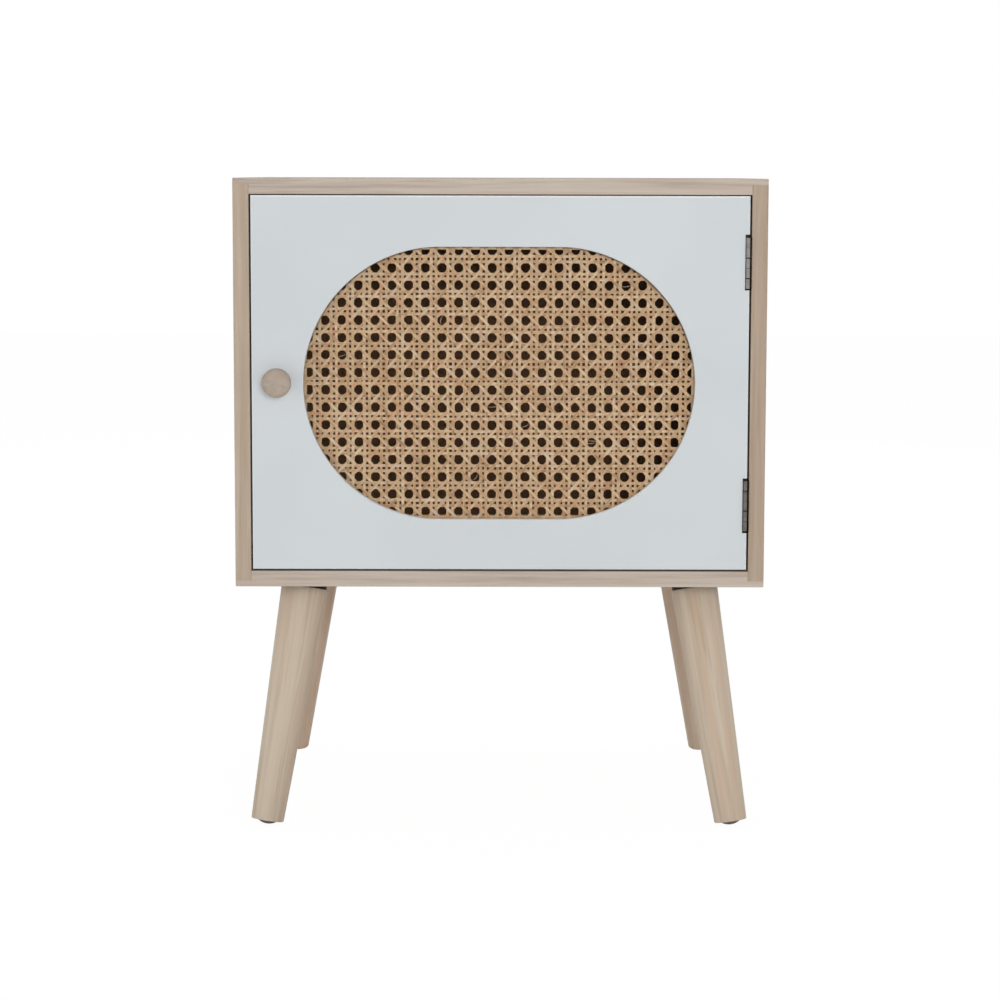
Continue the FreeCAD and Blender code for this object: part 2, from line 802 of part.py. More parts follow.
def pin_spots():
    """Centres of the batten pins, from the middle of the window."""
    spots = [(x, sign + PIN_Z) for x in LONG_BATTEN_PINS for sign in ("", "-")]
    spots += [(sign + PIN_X, z) for z in SHORT_BATTEN_PINS for sign in ("", "-")]
    return spots


def cane():
    """Woven sheet: a thin plate with the weave's large eight-sided holes."""
    pitch_x = amount("cane_pitch_x")
    pitch_z = amount("cane_pitch_z")
    flat = amount("cane_hole") / 2
    corner = flat * 0.41421356
    half_x = amount(f"{WINDOW_WIDTH} / 2 + cane_border")
    half_z = amount(f"{WINDOW_HEIGHT} / 2 + cane_border")
    reach_x = half_x - amount("cane_selvage") - flat
    reach_z = half_z - amount("cane_selvage") - flat
    shift_x = amount("cane_shift_x")
    shift_z = amount("cane_shift_z")
    ring = [
        (flat, corner),
        (corner, flat),
        (-corner, flat),
        (-flat, corner),
        (-flat, -corner),
        (-corner, -flat),
        (corner, -flat),
        (flat, -corner),
    ]

    def rows(pitch, shift, reach):
        count = int(reach / pitch) + 2
        places = [shift + (i + 0.5) * pitch for i in range(-count, count)]
        return [place for place in places if abs(place) <= reach]

    def loop(corners):
        spots = [Vector(x, 0, z) for x, z in corners]
        return Part.makePolygon(spots + spots[:1])

    edge = loop([(-half_x, -half_z), (half_x, -half_z), (half_x, half_z), (-half_x, half_z)])
    openings = [
        loop([(x + dx, z + dz) for dx, dz in ring]).reversed()
        for x in rows(pitch_x, shift_x, reach_x)
        for z in rows(pitch_z, shift_z, reach_z)
    ]
    face = Part.Face([edge] + openings)
    made = keep(doc.addObject("Part::Feature", "cane_sheet"), "cane_panel")
    made.Shape = face.extrude(Vector(0, amount("cane_thickness"), 0))
    put(made, WINDOW_X, f"{FRONT} + window_recess", DOOR_Z)


def batten(label, x0, x1, z0, z1, pins):
    """One batten. Local y is 0 on its front face, behind the cane."""
    body = new_body(label)
    face = sketch_on(body, "XZ_Plane")
    rectangle(face, x0, z0, x1, z1)
    pad(body, face, "batten_thickness", backwards=True)
    holes(body, "XZ_Plane", "0", pins, "pin_diameter + 2 * peg_clearance")
    put(body, WINDOW_X, f"{FRONT} + window_recess + cane_thickness", DOOR_Z)


def battens():
    outer_x = f"({OPENING_X} + batten_width)"
    outer_z = f"({OPENING_Z} + batten_width)"
    for label, sign in (("upper_batten", 1), ("lower_batten", -1)):
        pins = [(x, f"{sign} * {PIN_Z}") for x in LONG_BATTEN_PINS]
        batten(label, f"-{outer_x}", outer_x, f"{sign} * {OPENING_Z}", f"{sign} * {outer_z}", pins)
    for label, sign in (("left_batten", -1), ("right_batten", 1)):
        pins = [(f"{sign} * {PIN_X}", z) for z in SHORT_BATTEN_PINS]
        batten(label, f"{sign} * {OPENING_X}", f"{sign} * {outer_x}", f"-{OPENING_Z}", OPENING_Z, pins)
    radius = amount("pin_diameter") / 2
    long = amount("pin_length")
    pin = [(0, 0), (radius, 0), (radius, long - 2 * radius), (0, long)]
    back = amount(f"{FRONT} + window_recess + cane_thickness + batten_thickness")
    pins = [
        turned(pin, Vector(amount(f"{WINDOW_X} + {x}"), back, amount(f"{DOOR_Z} + {z}")), Vector(0, -1, 0))
        for x, z in pin_spots()
    ]
    group("batten_pins", pins)


def knob():
    """Turned knob. Local z is 0 on the door and grows away from it."""
    body = new_body("door_knob")
    head = "(knob_projection - knob_head_thickness)"
    rim = "(knob_projection - knob_face_rise)"
    turned_shape = revolve(
        body,
        [
            ("0", "0"),
            ("knob_base_diameter / 2", "0"),
            ("knob_neck_diameter / 2", "knob_neck_height"),
            ("knob_diameter / 2", head),
            ("knob_diameter / 2", rim),
            ("knob_face_diameter / 2", "knob_projection"),
            ("0", "knob_projection"),
        ],
    )
    rounds = [
        ("knob_neck_diameter", "knob_neck_height", 4),
        ("knob_diameter", head, 1.6),
        ("knob_diameter", rim, 2.4),
        ("knob_face_diameter", "knob_projection", 4),
    ]
    shape = turned_shape
    for diameter, height, radius in rounds:
        r = amount(f"{diameter} / 2")
        z = amount(height)
        edges = edges_where(
            shape.Shape, lambda spot: near(spot.z, z) and near(Vector(spot.x, spot.y, 0).Length, r)
        )
        shape = fillet(body, shape, edges, str(radius))
    holes(
        body,
        "XY_Plane",
        "0",
        [("0", "0")],
        "knob_screw_diameter + 2 * peg_clearance",
        "knob_screw_bite + end_clearance",
        backwards=True,
    )
    put(body, KNOB_X, FRONT, KNOB_Z, (("1", "0", "0"), "90"))

    radius = amount("knob_screw_diameter") / 2
    head_radius = amount("knob_screw_head_diameter") / 2
    thick = amount("knob_screw_head_thickness")
    tip = thick + amount("door_thickness + knob_screw_bite")
    dome = thick / 3
    screw = [
        (0, 0),
        (head_radius - dome, 0),
        (head_radius, dome),
        (head_radius, thick),
        (radius, thick),
        (radius, tip - dome),
        (radius - dome, tip),
        (0, tip),
    ]
    base = Vector(amount(KNOB_X), amount(DOOR_BACK) + thick, amount(KNOB_Z))
    group("knob_screw", [turned(screw, base, Vector(0, -1, 0))])


# ---------------------------------------------------------------- hinges

KNUCKLE = "((hinge_length - 4 * hinge_knuckle_gap) / 5)"


def hinge_leaf(label, which, on_case):
    """One leaf with its knuckles. Local origin on the axis, at mid-length.

    Local +x points to the side of the case and +y into the case, with the door shut.
    """
    body = new_body(label)
    radius = "(hinge_barrel_diameter / 2)"
    if on_case:
        outer = f"({radius} + hinge_swage)"
        inner = f"({outer} - hinge_leaf_thickness)"
        knuckles = (0, 2, 4)
    else:
        inner = HINGE_EDGE
        outer = f"({inner} - hinge_leaf_thickness)"
        knuckles = (1, 3)
    free = f"({radius} + hinge_room)"
    plate = sketch_on(body, "XY_Plane", "-hinge_length / 2")
    rectangle(plate, inner, free, outer, "hinge_leaf_width")
    pad(body, plate, "hinge_length")
    bend = f"{radius} / 2"
    tail = f"({free} + hinge_leaf_thickness)"
    for number in knuckles:
        bottom = f"-hinge_length / 2 + {number} * ({KNUCKLE} + hinge_knuckle_gap)"
        web = sketch_on(body, "XY_Plane", bottom)
        if on_case:
            corners = [
                ("0", bend),
                (radius, "0"),
                (outer, free),
                (outer, tail),
                (inner, tail),
                (inner, free),
            ]
        else:
            corners = [(outer, "0"), (inner, "0"), (inner, tail), (outer, tail)]
        outline(web, corners)
        pad(body, web, KNUCKLE)
        barrel = sketch_on(body, "XY_Plane", bottom)
        circles(barrel, [("0", "0")], "hinge_barrel_diameter")
        pad(body, barrel, KNUCKLE)
    holes(body, "XY_Plane", "0", [("0", "0")], "hinge_pin_diameter + 2 * hinge_running_clearance")
    countersunk_holes(
        body,
        "YZ_Plane",
        inner,
        [("hinge_screw_offset", dz) for dz in HINGE_SCREW_Z],
        "small_screw_diameter + 2 * peg_clearance",
        "small_screw_diameter + 2 * peg_clearance + 2 * hinge_leaf_thickness",
        backwards=on_case,
    )
    put(body, HINGE_X, HINGE_Y, HINGE_Z[which])
    return body


def small_screw(head_thickness):
    """Countersunk wood screw profile: 90 degree head of a given thickness."""
    radius = amount("small_screw_diameter") / 2
    long = amount("small_screw_length")
    head = radius + head_thickness
    return [(0, 0), (head, 0), (radius, head_thickness), (radius, long - 2 * radius), (0, long)]


def hinges():
    leaf = amount("hinge_leaf_thickness")
    case_screws = []
    door_screws = []
    for which in HINGE_Z:
        hinge_leaf(f"{which}_hinge_case_leaf", which, True)
        hinge_leaf(f"{which}_hinge_door_leaf", which, False)
        pin = new_body(f"{which}_hinge_pin")
        end = "(hinge_length / 2 + hinge_knuckle_gap)"
        radius = "hinge_pin_diameter / 2"
        cap = "hinge_barrel_diameter / 2 - hinge_leaf_thickness / 2"
        tip = f"({end} + hinge_pin_head)"
        revolve(
            pin,
            [
                ("0", f"-{tip}"),
                (cap, f"-{tip}"),
                (cap, f"-{end}"),
                (radius, f"-{end}"),
                (radius, end),
                (cap, end),
                (cap, tip),
                ("0", tip),
            ],
        )
        put(pin, HINGE_X, HINGE_Y, HINGE_Z[which])
        y = amount(f"{HINGE_Y} + hinge_screw_offset")
        case_x = amount(f"{HINGE_X} + hinge_barrel_diameter / 2 + hinge_swage - hinge_leaf_thickness")
        door_x = amount(f"{HINGE_X} + {HINGE_EDGE}")
        for dz in HINGE_SCREW_Z:
            z = amount(f"{HINGE_Z[which]} + {dz}")
            case_screws.append(turned(small_screw(leaf), Vector(case_x, y, z), Vector(1, 0, 0)))
            door_screws.append(turned(small_screw(leaf), Vector(door_x, y, z), Vector(-1, 0, 0)))
    group("hinge_case_screws", case_screws)
    group("hinge_door_screws", door_screws)


# ---------------------------------------------------------------- magnetic catch


def catch():
    """Housing on the left side of the case. Local x is 0 on that side, y 0 in front."""
    body = new_body("catch_housing")
    ends = "(catch_length / 2)"
    block = "(catch_body_length / 2)"
    profile = sketch_on(body, "XZ_Plane")
    outline(
        profile,
        [
            ("0", f"-{ends}"),
            ("catch_flange", f"-{ends}"),
            ("catch_flange", f"-{block}"),
            ("catch_width", f"-{block}"),
            ("catch_width", block),
            ("catch_flange", block),
            ("catch_flange", ends),
            ("0", ends),
        ],
    )
    pad(body, profile, "catch_depth", backwards=True)
    slot = sketch_on(body, "XZ_Plane")
    slot_half_x = "(magnet_width / 2 + pole_thickness + 3 * peg_clearance)"
    slot_half_z = "(magnet_length / 2 + 2 * peg_clearance)"
    rectangle(
        slot,
        f"{MAGNET_X} - {slot_half_x}",
        f"-{slot_half_z}",
        f"{MAGNET_X} + {slot_half_x}",
        slot_half_z,
    )
    pocket(body, slot, "magnet_depth")
    holes(
        body,
        "YZ_Plane",
        "catch_flange",
        [("catch_depth / 2", f"{side} * catch_screw_spacing / 2") for side in (-1, 1)],
        "catch_screw_diameter + 2 * peg_clearance",
    )
    put(body, CATCH_X, CATCH_Y, CATCH_Z)

    magnet = keep(doc.addObject("Part::Box", "magnet_block"), "catch_magnet")
    bind(magnet, Length="magnet_width", Width="magnet_depth", Height="magnet_length")
    put(
        magnet,
        f"{CATCH_X} + {MAGNET_X} - magnet_width / 2",
        CATCH_Y,
        f"{CATCH_Z} - magnet_length / 2",
    )
    for label, sign in (("inner_pole_plate", -1), ("outer_pole_plate", 1)):
        pole = keep(doc.addObject("Part::Box", label + "_block"), label)
        bind(pole, Length="pole_thickness", Width="magnet_depth + pole_proud", Height="magnet_length")
        middle = f"(magnet_width + pole_thickness) / 2 + peg_clearance"
        put(
            pole,
            f"{CATCH_X} + {MAGNET_X} + {sign} * ({middle}) - pole_thickness / 2",
            f"{CATCH_Y} - pole_proud",
            f"{CATCH_Z} - magnet_length / 2",
        )

    radius = amount("catch_screw_diameter") / 2
    head = amount("catch_screw_head_diameter") / 2
    thick = amount("catch_screw_head_thickness")
    long = amount("catch_screw_length")
    dome = thick / 3
    screw = [
        (0, 0),
        (head - dome, 0),
        (head, dome),
        (head, thick),
        (radius, thick),
        (radius, long - 2 * radius),
        (0, long),
    ]
    x = amount(f"{CATCH_X} + catch_flange + catch_screw_head_thickness")
    y = amount(f"{CATCH_Y} + catch_depth / 2")
    screws = []
    for side in (-1, 1):
        z = amount(f"{CATCH_Z} + {side} * catch_screw_spacing / 2")
        screws.append(turned(screw, Vector(x, y, z), Vector(-1, 0, 0)))
    group("catch_screws", screws)

    strike = new_body("strike_plate")
    plate = sketch_on(strike, "XZ_Plane")
    half_x = "(strike_width / 2)"
    half_z = "(strike_length / 2)"
    rectangle(plate, f"-{half_x}", f"-{half_z}", half_x, half_z)
    pad(strike, plate, "strike_thickness")
    countersunk_holes(
        strike,
        "XZ_Plane",
        "0",
        [("0", "0")],
        "small_screw_diameter + 2 * peg_clearance",
        "small_screw_diameter + 2 * peg_clearance + 2 * strike_thickness",
        backwards=True,
    )
    strike_y = f"{DOOR_BACK} + strike_thickness"
    put(strike, f"{CATCH_X} + {MAGNET_X}", strike_y, CATCH_Z)
    spot = Vector(amount(f"{CATCH_X} + {MAGNET_X}"), amount(strike_y), amount(CATCH_Z))
    group("strike_screw", [turned(small_screw(amount("strike_thickness")), spot, Vector(0, -1, 0))])


# ---------------------------------------------------------------- legs


def leg(corner, sign_x, sign_y):
    """Tapered round leg. Local z runs up its axis from 0 at the underside of the case."""
    body = new_body(f"{corner}_leg")
    turned_leg = revolve(
        body,
        [
            ("0", f"-{LEG_FOOT}"),
            ("leg_foot_diameter / 2", f"-{LEG_FOOT}"),
            ("leg_top_diameter / 2", f"-{LEG_SEAT}"),
            ("0", f"-{LEG_SEAT}"),
        ],
    )
    foot = -amount(LEG_FOOT)
    seat = -amount(LEG_SEAT)
    rims = edges_where(
        turned_leg.Shape,
        lambda spot: (near(spot.z, foot) or near(spot.z, seat)) and Vector(spot.x, spot.y, 0).Length > 1,
    )
    chamfer(body, turned_leg, rims, "leg_chamfer")
    holes(
        body,
        "XY_Plane",
        f"-{LEG_SEAT}",
        [("0", "0")],
        "bolt_diameter + 2 * peg_clearance",
        "bolt_in_leg + end_clearance",
    )
    holes(
        body,
        "XY_Plane",
        f"-{LEG_FOOT}",
        [("0", "0")],
        "glide_nail_diameter + 2 * peg_clearance",
        "glide_nail_length + end_clearance",
        backwards=True,
    )
    x, y = leg_point(sign_x, sign_y)
    put(body, x, y, "leg_height", leg_turn(sign_x, sign_y))


def leg_plate(corner, sign_x, sign_y):
    """Stamped plate with an angled boss. Local z is 0 on the underside of the case."""
    name = f"{corner}_leg_plate"
    flange = doc.addObject("Part::Box", name + "_flange")
    bind(flange, Length="plate_size", Width="plate_size", Height="plate_thickness")
    put(flange, "-plate_size / 2", "-plate_size / 2", "-plate_thickness")
    boss = doc.addObject("Part::Cylinder", name + "_boss")
    bind(boss, Radius="boss_diameter / 2", Height=LEG_SEAT)
    axis, angle = leg_turn(sign_x, sign_y)
    shift = f"{LEG_SEAT} * sin({TILT}) / hypot(leg_splay_x; leg_splay_y)"
    put(
        boss,
        f"{sign_x} * leg_splay_x * {shift}",
        f"{sign_y} * leg_splay_y * {shift}",
        f"-{LEG_SEAT} * cos({TILT})",
        (axis, angle),
    )
    blank = doc.addObject("Part::MultiFuse", name + "_blank")
    blank.Shapes = [flange, boss]
    above = doc.addObject("Part::Box", name + "_above")
    bind(above, Length="2 * plate_size", Width="2 * plate_size", Height="plate_size")
    put(above, "-plate_size", "-plate_size", "0")
    thread = doc.addObject("Part::Cylinder", name + "_thread")
    bind(thread, Radius="bolt_diameter / 2 + peg_clearance", Height=f"3 * {LEG_SEAT}")
    put(
        thread,
        f"{sign_x} * leg_splay_x * 2 * {shift}",
        f"{sign_y} * leg_splay_y * 2 * {shift}",
        f"-2 * {LEG_SEAT} * cos({TILT})",
        (axis, angle),
    )
    cutters = [above, thread]
    for a in (-1, 1):
        for b in (-1, 1):
            hole = doc.addObject("Part::Cylinder", name + "_hole")
            bind(hole, Radius="plate_screw_diameter / 2 + peg_clearance", Height="3 * plate_thickness")
            put(
                hole,
                f"{a} * plate_screw_spacing / 2",
                f"{b} * plate_screw_spacing / 2",
                "-2 * plate_thickness",
            )
            cutters.append(hole)
    tools = doc.addObject("Part::MultiFuse", name + "_tools")
    tools.Shapes = cutters
    cut = keep(doc.addObject("Part::Cut", name + "_cut"), name)
    cut.Base = blank
    cut.Tool = tools
    x, y = leg_point(sign_x, sign_y)
    put(cut, x, y, "leg_height")


def hanger_bolt(corner, sign_x, sign_y):
    """Threaded stud along the leg's axis, from the boss down into the leg."""
    body = new_body(f"{corner}_hanger_bolt")
    radius = "(bolt_diameter / 2)"
    top = f"(-({radius} * sin({TILT}) + leg_seat_clearance) / cos({TILT}))"
    bottom = f"(-({LEG_SEAT} + bolt_in_leg))"
    blank = revolve(
        body,
        [
            ("0", bottom),
            (f"{radius} / 4", bottom),
            (radius, f"{bottom} + {radius}"),
            (radius, top),
            ("0", top),
        ],
    )
    high = amount(top)
    rim = edges_where(
        blank.Shape, lambda spot: near(spot.z, high) and Vector(spot.x, spot.y, 0).Length > 1
    )
    chamfer(body, blank, rim, "bolt_diameter / 10")
    x, y = leg_point(sign_x, sign_y)
    put(body, x, y, "leg_height", leg_turn(sign_x, sign_y))


def glide(corner, sign_x, sign_y):
    """Domed nail-on glide whose dome touches the floor at z 0."""
    body = new_body(f"{corner}_glide")
    shaft = revolve(
        body,
        [
            ("0", f"-{LEG_FOOT}"),
            ("glide_nail_diameter / 2", f"-{LEG_FOOT}"),
            ("glide_nail_diameter / 2", f"-{LEG_FOOT} + glide_nail_length - glide_nail_diameter"),
            ("0", f"-{LEG_FOOT} + glide_nail_length"),
        ],
    )
    shaft.Label = f"{corner}_glide_nail"
    sketch = sketch_on(body, "XZ_Plane")
    face = amount(LEG_FOOT)
    radius = amount(GLIDE_RADIUS)
    height = amount("glide_height")
    rim = amount("glide_diameter") / 2
    centre = Vector(0, radius - height - face, 0)
    top = Vector(0, -face, 0)
    side = Vector(rim, -face, 0)
    low = Vector(0, -face - height, 0)
    dome = Part.Circle(centre, Vector(0, 0, 1), radius)
    sketch.addGeometry(Part.LineSegment(low, top), False)
    sketch.addGeometry(Part.LineSegment(top, side), False)
    sketch.addGeometry(Part.ArcOfCircle(dome, dome.parameter(low), dome.parameter(side)), False)
    sketch.addConstraint(Sketcher.Constraint("Coincident", 0, 2, 1, 1))
    sketch.addConstraint(Sketcher.Constraint("Coincident", 1, 2, 2, 2))
    sketch.addConstraint(Sketcher.Constraint("Coincident", 2, 1, 0, 1))
    fix_point(sketch, 0, 1, "0", f"-{LEG_FOOT} - glide_height")
    fix_point(sketch, 0, 2, "0", f"-{LEG_FOOT}")
    fix_point(sketch, 1, 2, "glide_diameter / 2", f"-{LEG_FOOT}")
    sketch.addConstraint(Sketcher.Constraint("PointOnObject", 2, 3, -2))
    cap = body.newObject("PartDesign::Revolution", "Revolution")
    cap.Profile = sketch
    cap.ReferenceAxis = (sketch, ["V_Axis"])
    cap.Angle = 360
    doc.recompute()
    x, y = leg_point(sign_x, sign_y)
    put(body, x, y, "leg_height", leg_turn(sign_x, sign_y))


def legs():
    for corner, (sign_x, sign_y) in CORNERS.items():
        leg(corner, sign_x, sign_y)
        leg_plate(corner, sign_x, sign_y)
        hanger_bolt(corner, sign_x, sign_y)
        glide(corner, sign_x, sign_y)
    radius = amount("plate_screw_diameter") / 2
    head = amount("plate_screw_head_diameter") / 2
    thick = amount("plate_screw_head_thickness")
    long = thick + amount("plate_screw_length")
    dome = thick / 3
    screw = [
        (0, 0),
        (head - dome, 0),
        (head, dome),
        (head, thick),
        (radius, thick),
        (radius, long - 2 * radius),
        (0, long),
    ]
    z = amount("leg_height - plate_thickness") - thick
    front = amount(FRONT)
    screws = [
        turned(screw, Vector(amount(x), front + amount(y), z), Vector(0, 0, 1))
        for x, y in plate_screw_spots()
    ]
    group("leg_plate_screws", screws)


# ---------------------------------------------------------------- build and write

case()
door()
cane()
battens()
knob()
hinges()
catch()
legs()
doc.recompute()


def check():
    """Stops before anything is written if a feature failed or cut nothing."""
    for item in doc.Objects:
        if "Invalid" in item.State or "Error" in item.State:
            raise RuntimeError(f"{item.Label} failed: {item.State}")
        if item.TypeId in ("PartDesign::Pocket", "PartDesign::Hole"):
            before = item.BaseFeature.Shape.Volume
            if item.Shape.Volume > before - 1e-3:
                raise RuntimeError(f"{item.Label} of {item.getParentGeoFeatureGroup().Label} cuts nothing")
    for item in parts:
        if item.Shape.isNull() or not item.Shape.isValid():
            raise RuntimeError(f"{item.Label} has no valid shape")


check()
os.makedirs("parts", exist_ok=True)
for item in parts:
    item.Shape.exportStep(f"parts/{item.Label}.step")
print(len(parts), "sub-parts written")
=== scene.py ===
import math
import random

import bpy
from mathutils import Matrix, Vector, noise


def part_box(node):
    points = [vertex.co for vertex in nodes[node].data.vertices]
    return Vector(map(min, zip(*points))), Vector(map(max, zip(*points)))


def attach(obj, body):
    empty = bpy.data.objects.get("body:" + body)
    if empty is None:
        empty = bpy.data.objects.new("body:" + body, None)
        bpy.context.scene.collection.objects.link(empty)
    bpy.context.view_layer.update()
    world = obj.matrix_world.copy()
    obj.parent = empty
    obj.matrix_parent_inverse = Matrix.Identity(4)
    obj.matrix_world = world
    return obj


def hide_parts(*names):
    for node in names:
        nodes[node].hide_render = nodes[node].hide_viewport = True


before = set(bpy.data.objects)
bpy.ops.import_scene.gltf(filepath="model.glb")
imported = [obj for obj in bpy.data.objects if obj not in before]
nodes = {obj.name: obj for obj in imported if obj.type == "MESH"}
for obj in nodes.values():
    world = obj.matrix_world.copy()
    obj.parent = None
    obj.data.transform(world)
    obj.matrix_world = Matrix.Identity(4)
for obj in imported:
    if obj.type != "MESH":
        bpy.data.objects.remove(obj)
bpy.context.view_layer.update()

MM = 0.001


# ---------------------------------------------------------------- places on the table

CORNERS = {
    "front_left": (-1, -1),
    "front_right": (1, -1),
    "rear_left": (-1, 1),
    "rear_right": (1, 1),
}

pin_low, pin_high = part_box("upper_hinge_pin")
hinge_axis = (pin_low + pin_high) / 2

# The upper hinge's notch is as far from the top of the case as the lower one's from its
# underside, so both are one spread away from the middle.
NOTCH_FROM_TOP = 62.3 * MM
NOTCH_HALF = 20.8 * MM
case_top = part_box("top_panel")[1].z
notch_middle = (case_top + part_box("bottom_panel")[0].z) / 2
notch_spread = case_top - NOTCH_FROM_TOP - notch_middle

# The window has two round ends and a straight middle. The sheet of cane reaches past it
# by a hidden border.
CANE_BORDER = 8 * MM
cane_low, cane_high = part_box("cane_panel")
cane_middle = (cane_low + cane_high) / 2
window_round = (cane_high.z - cane_low.z) / 2 - CANE_BORDER
window_straight = (cane_high.x - cane_low.x - cane_high.z + cane_low.z) / 2


# ---------------------------------------------------------------- small helpers

# A mix node's sockets: the share of the upper colour, both colours, and the result.
SHARE, UNDER, OVER, BLEND = 0, 6, 7, 2


def linear(hex_colour):
    """An sRGB hex colour as linear RGBA."""
    parts = [int(hex_colour[i : i + 2], 16) / 255 for i in (1, 3, 5)]
    return [c / 12.92 if c <= 0.04045 else ((c + 0.055) / 1.055) ** 2.4 for c in parts] + [1.0]


def add_node(tree, kind, inputs=None, stops=None, **properties):
    """Adds a node with its properties, constant or linked inputs, and colour stops."""
    made = tree.nodes.new(kind)
    for name, value in properties.items():
        setattr(made, name, value)
    for name, value in (inputs or {}).items():
        if isinstance(value, bpy.types.NodeSocket):
            tree.links.new(value, made.inputs[name])
        else:
            made.inputs[name].default_value = value
    for i, (position, colour) in enumerate(stops or []):
        ramp = made.color_ramp.elements
        stop = ramp[i] if i < 2 else ramp.new(position)
        stop.position = position
        stop.color = linear(colour)
    return made


def new_material(name):
    """An empty node material and its tree."""
    material = bpy.data.materials.new(name)
    material.use_nodes = True
    material.node_tree.nodes.clear()
    return material, material.node_tree


def finish_material(tree, surface, bump):
    """Puts a Principled surface with its bump on the material's output."""
    shader = add_node(tree, "ShaderNodeBsdfPrincipled", {**surface, "Normal": bump})
    add_node(tree, "ShaderNodeOutputMaterial", {"Surface": shader.outputs[0]})


def coat(names, material):
    """Gives CAD nodes their material."""
    for name in names:
        for slot in nodes[name].material_slots:
            slot.material = material


# ---------------------------------------------------------------- wood

# The figure's scale along X, Y and Z, which stretches it along the timber.
LENGTHWISE = {"x": (0.03, 1, 1), "y": (1, 0.03, 1), "z": (1, 1, 0.03)}

RING_GAP = 5 * MM
FIBRE_WIDTH = 1.1 * MM
TONE_PATCH = 24 * MM
BLUSH_BAND = 9 * MM
RING_SHARE = 0.5
TONE_SHARE = 0.42


def plain_wood(
    name,
    way,
    pale,
    body,
    streak,
    blush,
    grown_in=None,
    fibre=0.32,
    rough=0.62,
    gloss=0.4,
    start=0.0,
):
    """Pine or beech under a thin matt lacquer: straight grain, low contrast, hardly any gloss.

    way is the axis that the grain runs along. The fibres are drawn 1.1 mm wide, because
    real ones are too fine to see. blush is the warmer tone of the bands between the rings,
    and fibre the share that the fibres have in the figure. grown_in names the attribute
    that holds a leaning piece's place in the timber. start is how many metres into the
    timber the board was cut.
    """
    material, tree = new_material(name)
    if grown_in:
        place = add_node(tree, "ShaderNodeAttribute", attribute_name=grown_in).outputs["Vector"]
    else:
        place = add_node(tree, "ShaderNodeTexCoord").outputs["Object"]
    along = add_node(
        tree,
        "ShaderNodeMapping",
        {"Vector": place, "Location": (0, start, 0), "Scale": LENGTHWISE[way]},
    ).outputs[0]
    rings, fibres, tone, bands = (
        add_node(
            tree,
            "ShaderNodeTexNoise",
            {
                "Vector": along,
                "Scale": 1 / size,
                "Detail": detail,
                "Roughness": harshness,
                "Distortion": waviness,
            },
        ).outputs[0]
        for size, detail, harshness, waviness in (
            (RING_GAP, 2.5, 0.55, 0.5),
            (FIBRE_WIDTH, 2.0, 0.6, 0.0),
            (TONE_PATCH, 1.0, 0.5, 0.0),
            (BLUSH_BAND, 1.0, 0.5, 0.3),
        )
    )
    figure = 0.0
    for pattern, share in ((rings, RING_SHARE), (fibres, fibre), (tone, TONE_SHARE)):
        figure = add_node(
            tree, "ShaderNodeMath", {0: pattern, 1: share, 2: figure}, operation="MULTIPLY_ADD"
        ).outputs[0]
    colour = add_node(
        tree,
        "ShaderNodeValToRGB",
        {"Fac": figure},
        stops=[(0.46, streak), (0.6, body), (0.76, pale)],
    ).outputs[0]
    bands = add_node(
        tree,
        "ShaderNodeMapRange",
        {"Value": bands, "From Min": 0.48, "From Max": 0.66, "To Max": 0.7},
    ).outputs[0]
    colour = add_node(
        tree,
        "ShaderNodeMix",
        {SHARE: bands, UNDER: colour, OVER: linear(blush)},
        data_type="RGBA",
    ).outputs[BLEND]
    bump = add_node(
        tree, "ShaderNodeBump", {"Height": fibres, "Strength": 0.25, "Distance": 0.08 * MM}
    ).outputs[0]
    surface = {"Base Color": colour, "Roughness": rough, "Specular IOR Level": gloss}
    finish_material(tree, surface, bump)
    return material


# ---------------------------------------------------------------- lacquer and cane


def window_distance(tree, place):
    """How far a point lies outside the window's outline, in metres."""
    local = place
    for operation, amount in (
        ("SUBTRACT", cane_middle),
        ("ABSOLUTE", (0, 0, 0)),
        ("SUBTRACT", (window_straight, 0, 0)),
        ("MAXIMUM", (0, 0, 0)),
        ("MULTIPLY", (1, 0, 1)),
    ):
        local = add_node(
            tree, "ShaderNodeVectorMath", {0: local, 1: amount}, operation=operation
        ).outputs[0]
    radius = add_node(tree, "ShaderNodeVectorMath", {0: local}, operation="LENGTH").outputs["Value"]
    return add_node(
        tree, "ShaderNodeMath", {0: radius, 1: window_round}, operation="SUBTRACT"
    ).outputs[0]


# The painted shade in a hinge's notch: how far it goes from the axis of the pin into the
# door, how far behind the door's face it starts, and how far past the notch it still shows.
NOTCH_SHADE_FROM_PIN = 2.15 * MM
NOTCH_SHADE_FROM_FACE = 0.1 * MM
NOTCH_SHADE_PAST_END = 0.05 * MM


